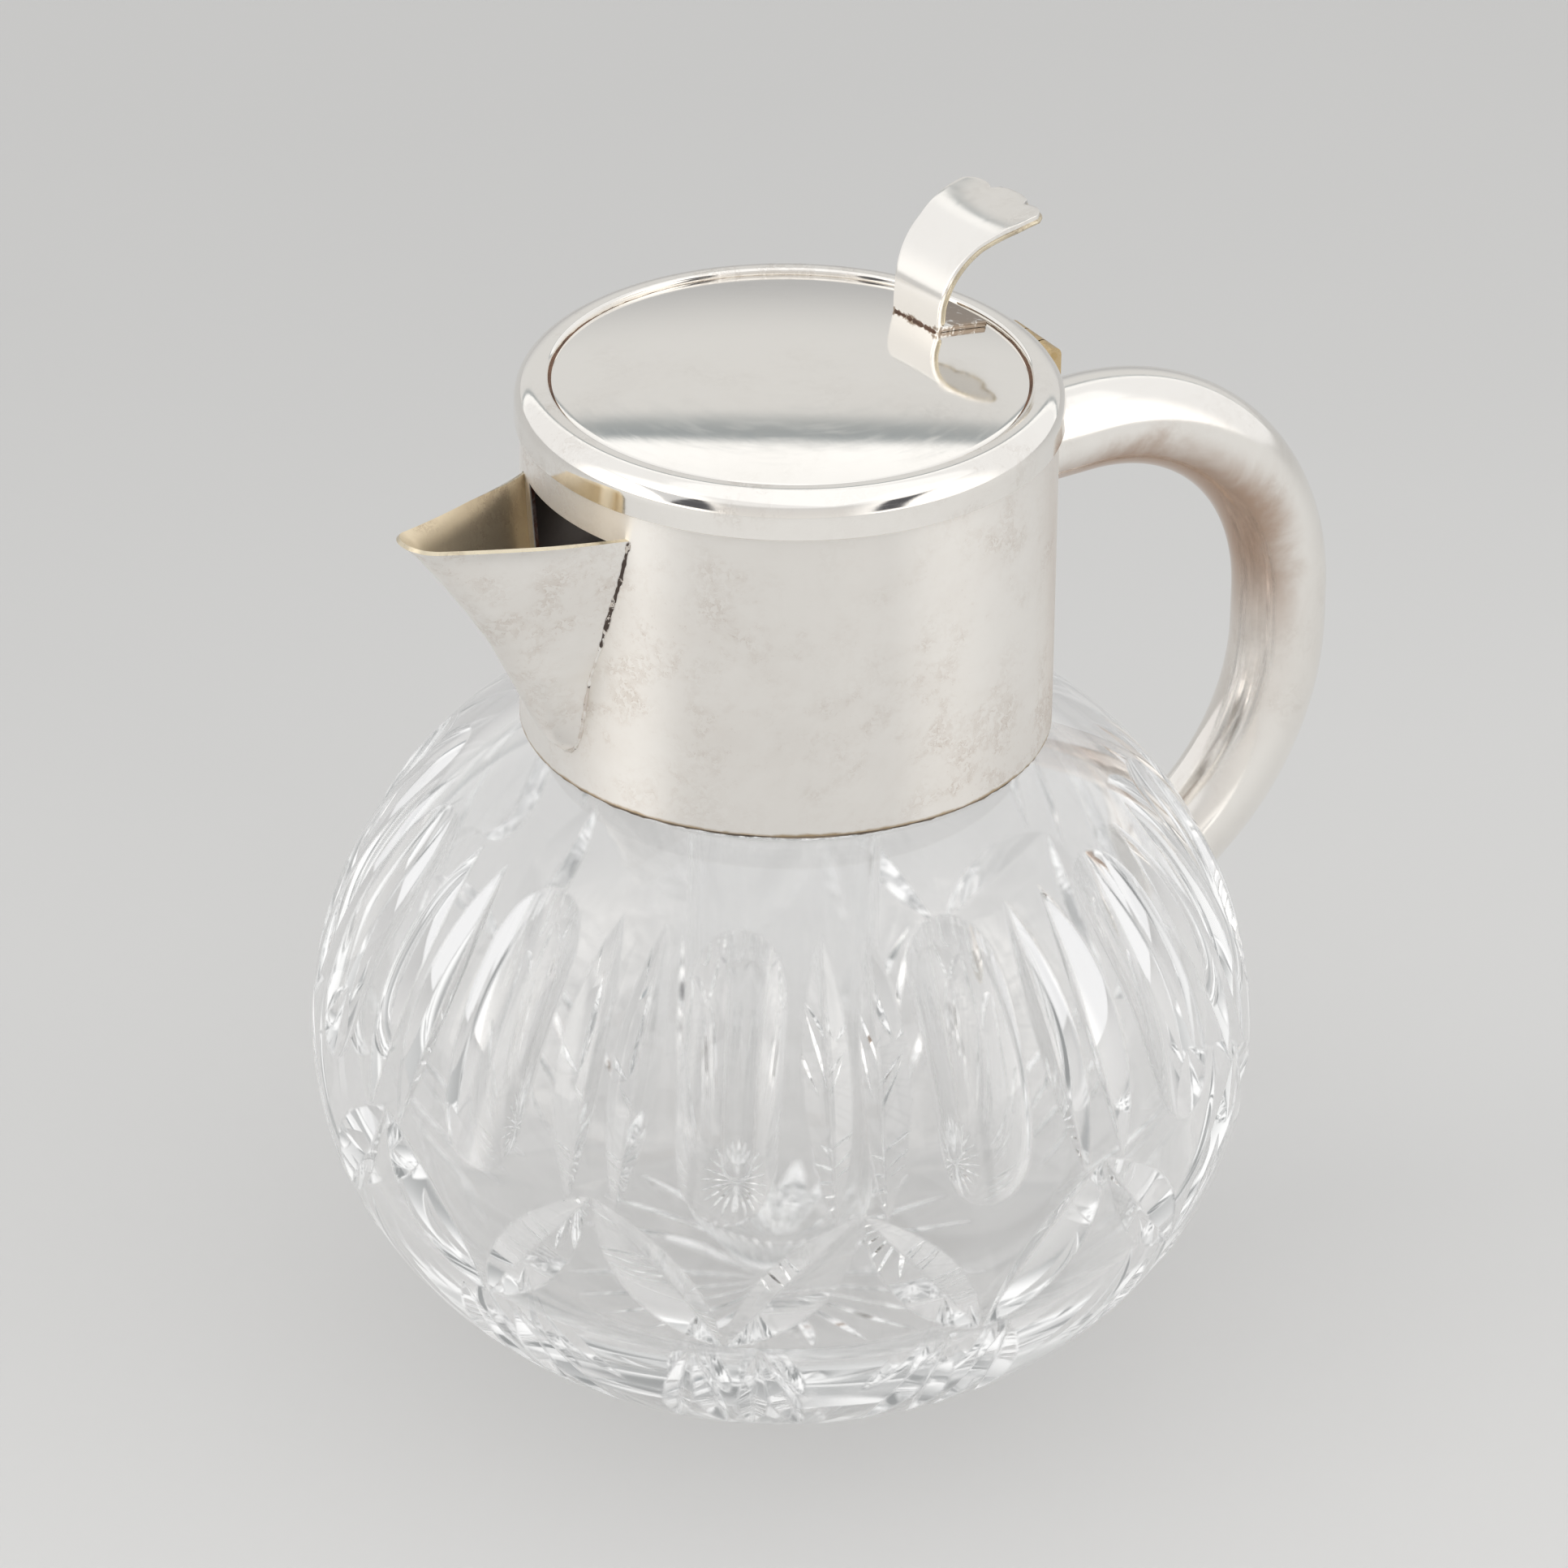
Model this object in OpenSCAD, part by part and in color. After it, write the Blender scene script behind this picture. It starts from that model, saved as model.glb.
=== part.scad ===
// Cut-glass globe jug with plated collar, spout, hinged lid, hollow handle and hanging ice insert.
// Origin: centre of the base on the table. +Z up, spout towards -X, handle and hinge towards +X.
// Millimetres.

/* [Globe] */
// Widest outside radius of the glass globe
globe_r = 90; // [75:1:105]
// Height of the widest circle above the table
belly_z = 63; // [55:1:72]
// Height of the ellipse above the belly
upper_rise = 80; // [76:1:92]
// Depth of the ellipse below the belly
lower_drop = 72.5; // [72.5:0.5:84]
// Glass wall at the belly
glass_wall = 8.5; // [6:0.5:11]
// Glass thickness under the cavity
floor_t = 12; // [8:1:20]
// Roundness of the cavity's lower half (2 is an ellipse)
cavity_power = 2.6; // [2:0.1:4]
// Wall of the glass neck
neck_wall = 5; // [3:0.5:8]
// How far the neck stands up inside the collar
neck_rise = 13; // [8:1:22]

/* [Collar] */
// Outside radius of the collar band
collar_r = 50.3; // [42:0.1:58]
// Sheet thickness of the collar band
collar_wall = 1; // [0.6:0.1:2]
// Length of the collar band
collar_h = 65.5; // [55:0.5:80]
// Gap between the glass shoulder and the collar's lower edge
shoulder_gap = 1.2; // [0.5:0.1:3]
// Thickness of the cement between neck and collar
cement_t = 1.1; // [0.5:0.1:2]
// Height of collar band left between the window and the lid's lower edge
window_band = 7.4; // [4:0.2:14]

/* [Spout] */
// Half width of the spout where its top edge meets the collar
spout_half_w = 18.5; // [12:0.1:22]
// How far the spout's tip stands out from the collar
spout_reach = 36; // [24:1:46]
// Height of the spout's foot above the collar's lower edge
spout_foot = 5.5; // [3:0.5:14]
// Depth of the spout's top corner below the lid's lower edge
spout_drop = 6.8; // [4:0.2:12]
// Rise of the tip above the top corners
spout_rise = 3.8; // [0:0.2:9]
// Rounding radius of the fold at the tip
spout_fold_r = 5; // [3:0.5:8]
// Sheet thickness of the spout
spout_wall = 1.1; // [0.8:0.1:2]
// Turn of the spout about the jug's axis, in degrees
spout_turn = 2.6; // [-8:0.2:8]

/* [Insert] */
// Outside radius of the ice insert's tube
insert_r = 18.2; // [14:0.1:21]
// Glass wall of the ice insert
insert_wall = 2.2; // [1.5:0.1:4]
// Gap between the insert's closed end and the bottom of the cavity
insert_gap = 4; // [2:0.5:30]
// Corner radius of the insert's closed end
insert_corner_r = 8; // [4:0.5:13]
// How far the insert's flange reaches past its tube
insert_flange = 6.3; // [4:0.1:9]
// Thickness of the insert's flange
insert_flange_t = 3; // [2:0.1:5]
// Height of the insert's rim above its flange
insert_rim = 4; // [1:0.5:8]
// Radial clearance of the insert in its seat
insert_clear = 1; // [0.4:0.1:2]
// Thickness of the seat plate
seat_t = 1.5; // [1:0.1:3]
// Number of spokes in the seat plate
seat_spokes = 4; // [3:1:6]
// Width of each spoke
spoke_w = 5; // [3:0.5:8]

/* [Lid] */
// Sheet thickness of the lid's skirt
skirt_wall = 0.8; // [0.6:0.1:1.6]
// Radial clearance between skirt and collar
skirt_clear = 0.3; // [0.3:0.05:0.8]
// How far the skirt laps over the collar
skirt_lap = 3.7; // [2:0.1:6]
// Height of the rounded shoulder above the collar's top
shoulder_h = 4.9; // [3.5:0.1:8]
// Width of the rounded shoulder
shoulder_w = 6.8; // [5:0.1:9]
// Gap of the groove around the dome
groove_w = 0.3; // [0.2:0.1:1]
// Height of the dome at its centre
dome_h = 5.1; // [3:0.1:12]
// Sheet thickness of the dome
dome_t = 0.9; // [0.6:0.1:1.6]
// Gap between the closed lid and the collar's top edge
lid_rest_gap = 0.1; // [0.1:0.05:0.4]

/* [Thumb piece] */
// Width of the thumb piece's strip
thumb_w = 13; // [9:0.5:16]
// Width across the lobes at its tip
thumb_tip_w = 21.5; // [15:0.5:26]
// Thickness of the strip
thumb_t = 1.5; // [1:0.1:2.5]
// Height of the tip above the top of the dome
thumb_rise = 15.8; // [12:0.1:26]
// Distance of the strip's front bend from the axis
thumb_x = 31.7; // [22:0.1:33]
// Length from the front bend to the tip
thumb_reach = 22.8; // [16:0.1:28]
// Length of the foot that is soldered to the dome
thumb_foot = 11.5; // [8:0.5:13]
// Turn of the thumb piece about the jug's axis, away from the hinge line, in degrees
thumb_turn = 7; // [-10:1:10]

/* [Hinge] */
// Radius of the hinge pin
pin_r = 0.9; // [0.7:0.1:1.1]
// Radius of the hinge knuckles
knuckle_r = 1.8; // [1.6:0.1:2.4]
// Radial running clearance of the pin in the lid's knuckle
pin_clear = 0.05; // [0.02:0.01:0.09]
// Distance from the lid's skirt to the pin's axis
hinge_out = 3; // [3:0.1:5]
// Whole width of the hinge
hinge_w = 14; // [12:0.5:24]
// Width of the lid's knuckle
lid_knuckle_w = 5.4; // [4.4:0.2:9]
// Axial gap between neighbouring knuckles
knuckle_gap = 0.3; // [0.2:0.05:0.6]

/* [Handle] */
// Outside radius of the handle's tube at its root
handle_r = 9.3; // [6:0.1:10]
// Outside radius of the handle's tube at its lower end
handle_end_r = 9.1; // [5.5:0.1:9.6]
// Wall of the handle's tube
handle_wall = 1.2; // [0.8:0.1:2]
// Height of the root's axis below the collar's top edge
handle_drop = 22; // [19:0.5:30]
// Straight length of the tube out of the collar
handle_neck = 15.5; // [12:0.5:34]
// Radius of the upper bend
bend_r = 48; // [34:1:54]
// Straight length between the bends
handle_straight = 7; // [2:1:30]
// Radius of the lower bend
lower_bend_r = 50; // [40:1:60]
// Turn of the lower bend in degrees
lower_turn = 50; // [40:1:56]
// Gap between the handle's end cap and the glass
handle_gap = 0.4; // [0.3:0.1:1]
// Thickness of the end cap
handle_cap_t = 1.2; // [0.8:0.1:2]

/* [Display] */
// Which piece to draw

/* [Hidden] */
$fn = 96;
steps = 26;

// Radii that follow from each other
collar_in = collar_r - collar_wall;
neck_r = collar_in - cement_t;
neck_bore = neck_r - neck_wall;
skirt_in = collar_r + skirt_clear;
lid_r = skirt_in + skirt_wall;
dome_r = lid_r - shoulder_w;

// Heights that follow from each other
function up_z(r, big_r, rise) = belly_z + rise * sqrt(1 - (r / big_r) * (r / big_r));
collar_z = up_z(collar_r, globe_r, upper_rise) + shoulder_gap;
neck_top = collar_z + neck_rise;
cement_z = max(collar_z, up_z(neck_r, globe_r, upper_rise));
collar_top = collar_z + collar_h;
skirt_z = collar_top - skirt_lap;
lid_under = collar_top + lid_rest_gap;
lid_top = collar_top + shoulder_h;
dome_z = lid_top - 1;
dome_top = dome_z + dome_h;
dome_sr = (dome_r * dome_r + dome_h * dome_h) / (2 * dome_h);
seat_top = neck_top + seat_t;
insert_z = seat_top + 0.1;

// Outside of the globe from the base to the neck, as [r, z] points
function low_r(z, big_r, drop) = big_r * sqrt(max(0, 1 - pow((belly_z - z) / drop, 2)));
function globe_side(big_r, rise, drop, top_r) = concat(
    [for (i = [0:steps]) let(z = belly_z * (1 - cos(90 * i / steps))) [low_r(z, big_r, drop), z]],
    [for (i = [1:steps]) let(a = acos(top_r / big_r) * i / steps) [big_r * cos(a), belly_z + rise * sin(a)]]
);

// Cavity of the globe from its lowest point to the neck's bore
cav_r = globe_r - glass_wall;
cav_rise = upper_rise - glass_wall;
cav_drop = belly_z - floor_t;
cav_top_turn = acos(neck_bore / cav_r);
function cavity_low_r(t) = cav_r * pow(1 - pow(t, cavity_power), 1 / cavity_power);
function cavity_side() = concat(
    [for (i = [0:steps]) let(t = cos(90 * i / steps)) [cavity_low_r(t), belly_z - cav_drop * t]],
    [for (i = [1:steps]) let(a = cav_top_turn * i / steps) [cav_r * cos(a), belly_z + cav_rise * sin(a)]]
);

module globe_outside() {
    rotate_extrude() polygon(concat(
        [[0, 0]],
        globe_side(globe_r, upper_rise, lower_drop, neck_r),
        [[neck_r, neck_top], [0, neck_top]]
    ));
}

module glass_globe() {
    color("lightcyan", 0.5) difference() {
        globe_outside();
        rotate_extrude() polygon(concat(cavity_side(), [[neck_bore, neck_top + 1], [0, neck_top + 1]]));
    }
}

module neck_cement() {
    color("peru") difference() {
        translate([0, 0, cement_z]) cylinder(r = collar_in, h = neck_top - cement_z);
        translate([0, 0, cement_z - 1]) cylinder(r = neck_r, h = neck_rise + 2);
    }
}

// Spout sections: half width at the collar, reach of the fold and radius of the fold at a height
spout_z0 = collar_z + spout_foot;
spout_z1 = skirt_z - spout_drop;
spout_tip_z = spout_z1 + spout_rise;
spout_span = spout_tip_z - spout_z0;
function spout_w(z) = spout_half_w * pow(max(0, (z - spout_z0) / (spout_z1 - spout_z0)), 0.72);
function spout_d(z) = spout_reach * pow(max(0, (z - spout_z0) / spout_span), 1.05);
function spout_f(z) = min(spout_fold_r, 0.75 * spout_w(z));
function collar_x(y) = -sqrt(collar_r * collar_r - y * y);
arc_n = 10;

// One section as points, moved in by t: out along the far side, round the fold, back along the near side
function spout_section(z, t) =
    let(w = spout_w(z))
    let(f = spout_f(z))
    let(cx = -collar_r - spout_d(z) + f)
    let(px = collar_x(w))
    let(a = px - cx)
    let(len = sqrt(a * a + w * w))
    let(turn = atan2(w, a) - asin(min(0.99, f / len)))
    let(n = [-sin(turn), cos(turn)])
    let(start = [px, w] + [cos(turn), sin(turn)] * 6 - n * t)
    concat(
        [[start[0], start[1], z]],
        [for (i = [0:arc_n])
            let(b = 90 + turn + (180 - 2 * turn) * i / arc_n)
            [cx + (f - t) * cos(b), (f - t) * sin(b), z]],
        [[start[0], -start[1], z]]
    );

// Four-sided faces between n + 1 rings of m points each, and the two end faces
function skin_sides(n, m) = [for (k = [0:n - 1]) for (i = [0:m - 1])
    let(j = (i + 1) % m)
    [k * m + i, k * m + j, (k + 1) * m + j, (k + 1) * m + i]];
function skin_caps(n, m) = [[for (i = [m - 1:-1:0]) i], [for (i = [0:m - 1]) n * m + i]];
function turned(faces) = [for (f = faces) [for (i = [len(f) - 1:-1:0]) f[i]]];

module spout_solid(t, za, zb, n) {
    m = arc_n + 3;
    pts = [for (k = [0:n]) each spout_section(za + (zb - za) * k / n, t)];
    polyhedron(points = pts, faces = turned(concat(skin_sides(n, m), skin_caps(n, m))));
}

// Space above the spout's sloping top edge
module spout_top_cut() {
    slope = atan2(spout_rise, spout_reach);
    translate([collar_x(spout_half_w), 0, spout_z1]) rotate([0, slope, 0])
        translate([-90, -50, 0]) cube([120, 100, 40]);
}

module spout_body() {
    color("silver") rotate([0, 0, spout_turn]) difference() {
        spout_solid(0, spout_z0 + 0.6, spout_tip_z + 3, 16);
        spout_solid(spout_wall, spout_z0 + 3, spout_tip_z + 4, 16);
        spout_top_cut();
        translate([0, 0, collar_z - 5]) cylinder(r = collar_r, h = collar_h + 20);
    }
}

// Window in the collar behind the spout, as [y, z] points
window_top = skirt_z - window_band;
window_z0 = spout_z0 + 6;
function window_w(z) = max(0.5, spout_w(z) - spout_wall - 1.2);
win_n = 8;
function window_z(i) = window_z0 + (window_top - window_z0) * i / win_n;
function window_side(s) = [for (i = [0:win_n]) [s * window_w(window_z(i)), window_z(i)]];
function reversed(v) = [for (i = [len(v) - 1:-1:0]) v[i]];

module window_cut() {
    rotate([90, 0, spout_turn - 90]) linear_extrude(height = collar_r + 5)
        polygon(concat(window_side(1), reversed(window_side(-1))));
}

module collar_band() {
    color("gainsboro") difference() {
        translate([0, 0, collar_z]) cylinder(r = collar_r, h = collar_h);
        translate([0, 0, collar_z - 1]) cylinder(r = collar_in, h = collar_h + 2);
        window_cut();
    }
}

// Seat plate: a ring on the neck's top edge, spokes, and a ring that carries the insert's flange
seat_hub_r = insert_r + insert_flange + 0.6;
module seat_ring(r_out, r_in) {
    difference() {
        cylinder(r = r_out, h = seat_t);
        translate([0, 0, -1]) cylinder(r = r_in, h = seat_t + 2);
    }
}

module insert_seat() {
    color("lightgray") translate([0, 0, neck_top]) union() {
        seat_ring(collar_in, neck_bore);
        seat_ring(seat_hub_r, insert_r + insert_clear);
        for (i = [0:seat_spokes - 1]) rotate([0, 0, (i + 0.5) * 360 / seat_spokes])
            translate([seat_hub_r - 1.5, -spoke_w / 2, 0])
                cube([neck_bore - seat_hub_r + 3, spoke_w, seat_t]);
    }
}

// Outline of a round-cornered tube end, from its axis out, as [r, z] points
insert_bottom_z = floor_t + insert_gap;
function tube_end(r, z, corner) = concat(
    [[0, z]],
    [for (i = [0:8]) let(a = 90 * i / 8) [r - corner + corner * sin(a), z + corner - corner * cos(a)]]
);

module ice_insert() {
    top = insert_z + insert_flange_t + insert_rim;
    inner = insert_r - insert_wall;
    inner_z = insert_bottom_z + insert_wall + 0.6;
    outer_end = tube_end(insert_r, insert_bottom_z, insert_corner_r);
    inner_end = tube_end(inner, inner_z, insert_corner_r - insert_wall);
    color("azure", 0.5) difference() {
        union() {
            rotate_extrude() polygon(concat(outer_end, [[insert_r, top], [0, top]]));
            translate([0, 0, insert_z]) cylinder(r = insert_r + insert_flange, h = insert_flange_t);
        }
        rotate_extrude() polygon(concat(inner_end, [[inner, top + 1], [0, top + 1]]));
    }
}

// Lid rim: skirt, rounded shoulder, ledge for the dome and a locating ring inside the collar
ledge_z = dome_z - 1.2;
ledge_r = dome_r - 2.4;
ring_r = collar_in - 0.8;
function shoulder_arc() = [for (i = [0:10])
    let(a = 90 * i / 10)
    [lid_r - 4 + 4 * cos(a), lid_top - 4 + 4 * sin(a)]];
module lid_rim() {
    color("silver") rotate_extrude() polygon(concat(
        [[skirt_in, skirt_z], [lid_r, skirt_z]],
        shoulder_arc(),
        [[dome_r + groove_w + 0.8, lid_top - 0.4], [dome_r + groove_w, dome_z - 0.4]],
        [[dome_r + groove_w, ledge_z], [ledge_r, ledge_z], [ledge_r, lid_under]],
        [[ring_r - 1, lid_under], [ring_r - 1, lid_under - 3], [ring_r, lid_under - 3]],
        [[ring_r, lid_under], [skirt_in, lid_under]]
    ));
}

module dome_ball(r) {
    translate([0, 0, dome_top - dome_sr]) sphere(r = r, $fn = 240);
}

module lid_dome() {
    color("whitesmoke") difference() {
        intersection() {
            dome_ball(dome_sr);
            translate([0, 0, ledge_z]) cylinder(r = dome_r, h = dome_h + 3);
        }
        intersection() {
            dome_ball(dome_sr - dome_t);
            translate([0, 0, ledge_z - 1]) cylinder(r = dome_r - dome_t, h = dome_h + 4);
        }
        translate([0, 0, ledge_z - 1]) cylinder(r = dome_r - dome_t, h = 1.6);
    }
}

// Thumb piece: a strip that rises from a foot on the dome and curves back to a lobed tip
thumb_z = dome_top - 2.7;
tip_z = dome_top + thumb_rise;
foot_end = min(thumb_x + thumb_foot, dome_r - 1);
b0 = [thumb_x, thumb_z];
b1 = [thumb_x - 0.7, thumb_z + (tip_z - thumb_z) * 0.66];
b2 = [thumb_x + thumb_reach * 0.254, tip_z + 0.7];
b3 = [thumb_x + thumb_reach, tip_z];
function bez(t) =
    pow(1 - t, 3) * b0 + 3 * t * pow(1 - t, 2) * b1 + 3 * t * t * (1 - t) * b2 + t * t * t * b3;
function bez_d(t) =
    3 * pow(1 - t, 2) * (b1 - b0) + 6 * t * (1 - t) * (b2 - b1) + 3 * t * t * (b3 - b2);
function bez_n(t) = let(d = bez_d(t)) [-d[1], d[0]] / norm(d);
bez_steps = 18;
function strip_side(s) = [for (i = [0:bez_steps]) bez(i / bez_steps) + s * bez_n(i / bez_steps)];

// Half of the strip's plan: [how far along its reach, how much of its widening]
thumb_plan_half = [[-0.4, 0], [0, 0], [0.08, 0.26], [0.25, 0.42], [0.39, 0.66], [0.56, 1]];
function plan_side(s) = [for (p = thumb_plan_half)
    [thumb_x + p[0] * thumb_reach, s * (thumb_w + (thumb_tip_w - thumb_w) * p[1]) / 2]];

module thumb_plan() {
    tip = thumb_x + thumb_reach;
    lobe = thumb_tip_w / 6;
    end = tip - lobe;
    side = thumb_tip_w / 2;
    linear_extrude(height = 60) union() {
        polygon(concat(plan_side(1), [[end, side], [end, -side]], reversed(plan_side(-1))));
        for (s = [-1, 1]) translate([end - 0.3, s * (side - lobe)]) circle(r = lobe);
        translate([end, 0]) circle(r = lobe * 1.2);
    }
}

module thumb_lever() {
    color("silver") rotate([0, 0, thumb_turn]) union() {
        intersection() {
            rotate([90, 0, 0]) translate([0, 0, -20]) linear_extrude(height = 40)
                polygon(concat(strip_side(0), reversed(strip_side(-thumb_t))));
            translate([0, 0, thumb_z - 10]) thumb_plan();
            difference() {
                translate([0, -20, thumb_z - 10]) cube([80, 40, 60]);
                dome_ball(dome_sr);
            }
        }
        difference() {
            intersection() {
                dome_ball(dome_sr + thumb_t);
                translate([thumb_x, -thumb_w / 2, thumb_z - 10])
                    cube([foot_end - thumb_x, thumb_w, 30]);
            }
            dome_ball(dome_sr);
        }
    }
}

// Hinge: pin along Y behind the skirt
pin_x = lid_r + hinge_out;
pin_z = skirt_z + 1.3;
block_top = pin_z - knuckle_r - 0.4;
side_w = (hinge_w - lid_knuckle_w) / 2 - knuckle_gap;

module along_y(r, y0, w) {
    translate([pin_x, y0 + w, pin_z]) rotate([90, 0, 0]) cylinder(r = r, h = w);
}

module lid_hinge_leaf() {
    color("darkgoldenrod") difference() {
        union() {
            along_y(knuckle_r, -lid_knuckle_w / 2, lid_knuckle_w);
            translate([lid_r - 2, -lid_knuckle_w / 2, pin_z - 0.8])
                cube([hinge_out + 2, lid_knuckle_w, knuckle_r + 0.8]);
        }
        along_y(pin_r + pin_clear, -hinge_w, 2 * hinge_w);
        translate([0, 0, skirt_z - 5]) cylinder(r = lid_r, h = 30);
    }
}

module collar_hinge_leaf() {
    color("goldenrod") difference() {
        union() {
            for (s = [0, 1]) mirror([0, s, 0]) {
                along_y(knuckle_r, lid_knuckle_w / 2 + knuckle_gap, side_w);
                translate([pin_x - knuckle_r, lid_knuckle_w / 2 + knuckle_gap, block_top - 1])
                    cube([2 * knuckle_r, side_w, pin_z - block_top + 1]);
            }
            translate([collar_r - 4, -hinge_w / 2, block_top - 5])
                cube([pin_x + knuckle_r - collar_r + 4, hinge_w, 5]);
        }
        along_y(pin_r, -hinge_w, 2 * hinge_w);
        translate([0, 0, block_top - 10]) cylinder(r = collar_r, h = 30);
    }
}

module hinge_pin() {
    color("gold") along_y(pin_r, -hinge_w / 2, hinge_w);
}

// Handle: a tube in the XZ plane from the collar round to the glass
root_z = collar_top - handle_drop;
bend_x = collar_r + handle_neck;
low_z = root_z - bend_r - handle_straight;
low_x = bend_x + bend_r - lower_bend_r;
end_x = low_x + lower_bend_r * cos(lower_turn);
end_z = low_z - lower_bend_r * sin(lower_turn);

// Centre line as [x, z, heading in degrees, length so far], from inside the collar to inside the globe
start_x = collar_in - 2;
run_1 = bend_x - start_x;
run_2 = run_1 + bend_r * PI / 2;
run_3 = run_2 + handle_straight;
run_4 = run_3 + lower_bend_r * lower_turn * PI / 180;
end_run = (end_x - globe_r + handle_end_r + 2.7) / sin(lower_turn);
function handle_path() = concat(
    [for (i = [0:2]) [start_x + run_1 * i / 3, root_z, 0, run_1 * i / 3]],
    [for (i = [0:14])
        let(a = 90 * i / 14, x = bend_x + bend_r * sin(a), z = root_z - bend_r + bend_r * cos(a))
        [x, z, -a, run_1 + (run_2 - run_1) * i / 14]],
    [for (i = [0:9])
        let(a = lower_turn * i / 9, x = low_x + lower_bend_r * cos(a), z = low_z - lower_bend_r * sin(a))
        [x, z, -90 - a, run_3 + (run_4 - run_3) * i / 9]],
    [[
        end_x - end_run * sin(lower_turn),
        end_z - end_run * cos(lower_turn),
        -90 - lower_turn,
        run_4 + end_run
    ]]
);

// Radius of the tube at a length along it: parallel to the bend's middle, then tapering to the end
taper_from = (run_1 + run_2) / 2;
function taper(len) = min(1, max(0, (len - taper_from) / (run_4 - taper_from)));
function tube_r(len) = handle_r + (handle_end_r - handle_r) * taper(len);
tube_sides = 32;
function tube_ring(p, r) = [for (k = [0:tube_sides - 1])
    let(b = 360 * k / tube_sides)
    [p[0] - r * cos(b) * sin(p[2]), r * sin(b), p[1] + r * cos(b) * cos(p[2])]];

module handle_solid(shrink) {
    path = handle_path();
    n = len(path) - 1;
    m = tube_sides;
    pts = [for (p = path) each tube_ring(p, tube_r(p[3]) - shrink)];
    polyhedron(points = pts, faces = concat(skin_sides(n, m), skin_caps(n, m)));
}

// The globe's outside, grown by g: what the handle's end is cut back from
module globe_grown(g) {
    rotate_extrude() polygon(concat(
        [[0, -g]],
        globe_side(globe_r + g, upper_rise + g, lower_drop + g, neck_r),
        [[0, belly_z + upper_rise]]
    ));
}

module handle_tube() {
    color("silver") difference() {
        handle_solid(0);
        handle_solid(handle_wall);
        cylinder(r = collar_r, h = collar_top + 20);
        globe_grown(handle_gap);
    }
}

module handle_cap() {
    color("darkgray") difference() {
        intersection() {
            handle_solid(handle_wall);
            globe_grown(handle_gap + handle_cap_t);
            translate([globe_r * 0.8, -30, belly_z - 30]) cube([60, 60, 60]);
        }
        globe_grown(handle_gap);
    }
}

glass_globe();
neck_cement();
collar_band();
spout_body();
insert_seat();
ice_insert();
lid_rim();
lid_dome();
thumb_lever();
lid_hinge_leaf();
collar_hinge_leaf();
hinge_pin();
handle_tube();
handle_cap();
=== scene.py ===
import math

import bmesh
import bpy
import numpy as np
from bpy.props import FloatProperty, FloatVectorProperty, IntProperty, PointerProperty
from mathutils import Matrix, Vector


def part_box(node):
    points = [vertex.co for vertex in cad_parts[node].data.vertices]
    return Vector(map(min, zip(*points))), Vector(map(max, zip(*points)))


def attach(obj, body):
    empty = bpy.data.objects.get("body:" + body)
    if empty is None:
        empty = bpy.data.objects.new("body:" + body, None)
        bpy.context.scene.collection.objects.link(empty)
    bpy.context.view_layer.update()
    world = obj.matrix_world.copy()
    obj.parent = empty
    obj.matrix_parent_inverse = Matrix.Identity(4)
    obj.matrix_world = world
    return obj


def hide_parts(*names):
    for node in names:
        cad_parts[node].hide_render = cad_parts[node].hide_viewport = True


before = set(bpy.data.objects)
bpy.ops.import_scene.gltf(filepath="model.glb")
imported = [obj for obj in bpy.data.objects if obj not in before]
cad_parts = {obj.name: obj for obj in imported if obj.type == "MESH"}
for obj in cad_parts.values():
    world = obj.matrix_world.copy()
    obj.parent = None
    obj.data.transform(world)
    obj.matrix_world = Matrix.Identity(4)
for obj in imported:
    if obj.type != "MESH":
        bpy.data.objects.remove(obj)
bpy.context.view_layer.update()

bl_info = {
    "name": "Cut-glass jug with plated mounts",
    "version": (1, 0, 0),
    "blender": (4, 5, 0),
    "location": "View3D > Sidebar > Jug",
    "description": "Builds the cut crystal globe, its plated mounts and the ice insert round the frame",
    "category": "Add Mesh",
}

MM = 0.001
# Points closer than this are one point
WELD = 0.002 * MM


def node_low(name):
    return Vector(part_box(name)[0])


def node_high(name):
    return Vector(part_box(name)[1])


# Sizes that the frame gives
GLOBE_R = node_high("glass_globe").x
NECK_TOP = node_high("glass_globe").z
COLLAR_R = node_high("collar_band").y
COLLAR_LOW = node_low("collar_band").z
COLLAR_TOP = node_high("collar_band").z
LID_R = node_high("lid_rim").y
LID_LOW = node_low("lid_rim").z
LID_TOP = node_high("lid_rim").z
DOME_TOP = node_high("lid_dome").z
DOME_R = node_high("lid_dome").y
INSERT_LOW = node_low("ice_insert").z
INSERT_TOP = node_high("ice_insert").z
FLANGE_R = node_high("ice_insert").y
SPOUT_TIP_X = node_low("spout_body").x
SPOUT_TIP_Z = node_high("spout_body").z
SPOUT_LOW = node_low("spout_body").z
HANDLE_OUT_X = node_high("handle_tube").x
HANDLE_TOP_Z = node_high("handle_tube").z

# Sizes that the frame's boxes don't show, as in the part's source
BELLY_Z = 63.0 * MM
UPPER_RISE = 80.0 * MM
LOWER_DROP = 72.5 * MM
FLOOR_T = 12.0 * MM
CAVITY_POWER = 2.6
THUMB_TURN = 7.0
SPOUT_TURN = 2.6
COLLAR_WALL = 1.0 * MM


# ---------------------------------------------------------------- mesh helpers


def link(obj):
    bpy.context.scene.collection.objects.link(obj)
    return obj


def mesh_object(name, verts, faces, smooth=True):
    mesh = bpy.data.meshes.new(name)
    mesh.from_pydata([tuple(v) for v in verts], [], [tuple(f) for f in faces])
    mesh.validate()
    mesh.update()
    if smooth:
        mesh.polygons.foreach_set("use_smooth", [True] * len(mesh.polygons))
    return link(bpy.data.objects.new(name, mesh))


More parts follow.
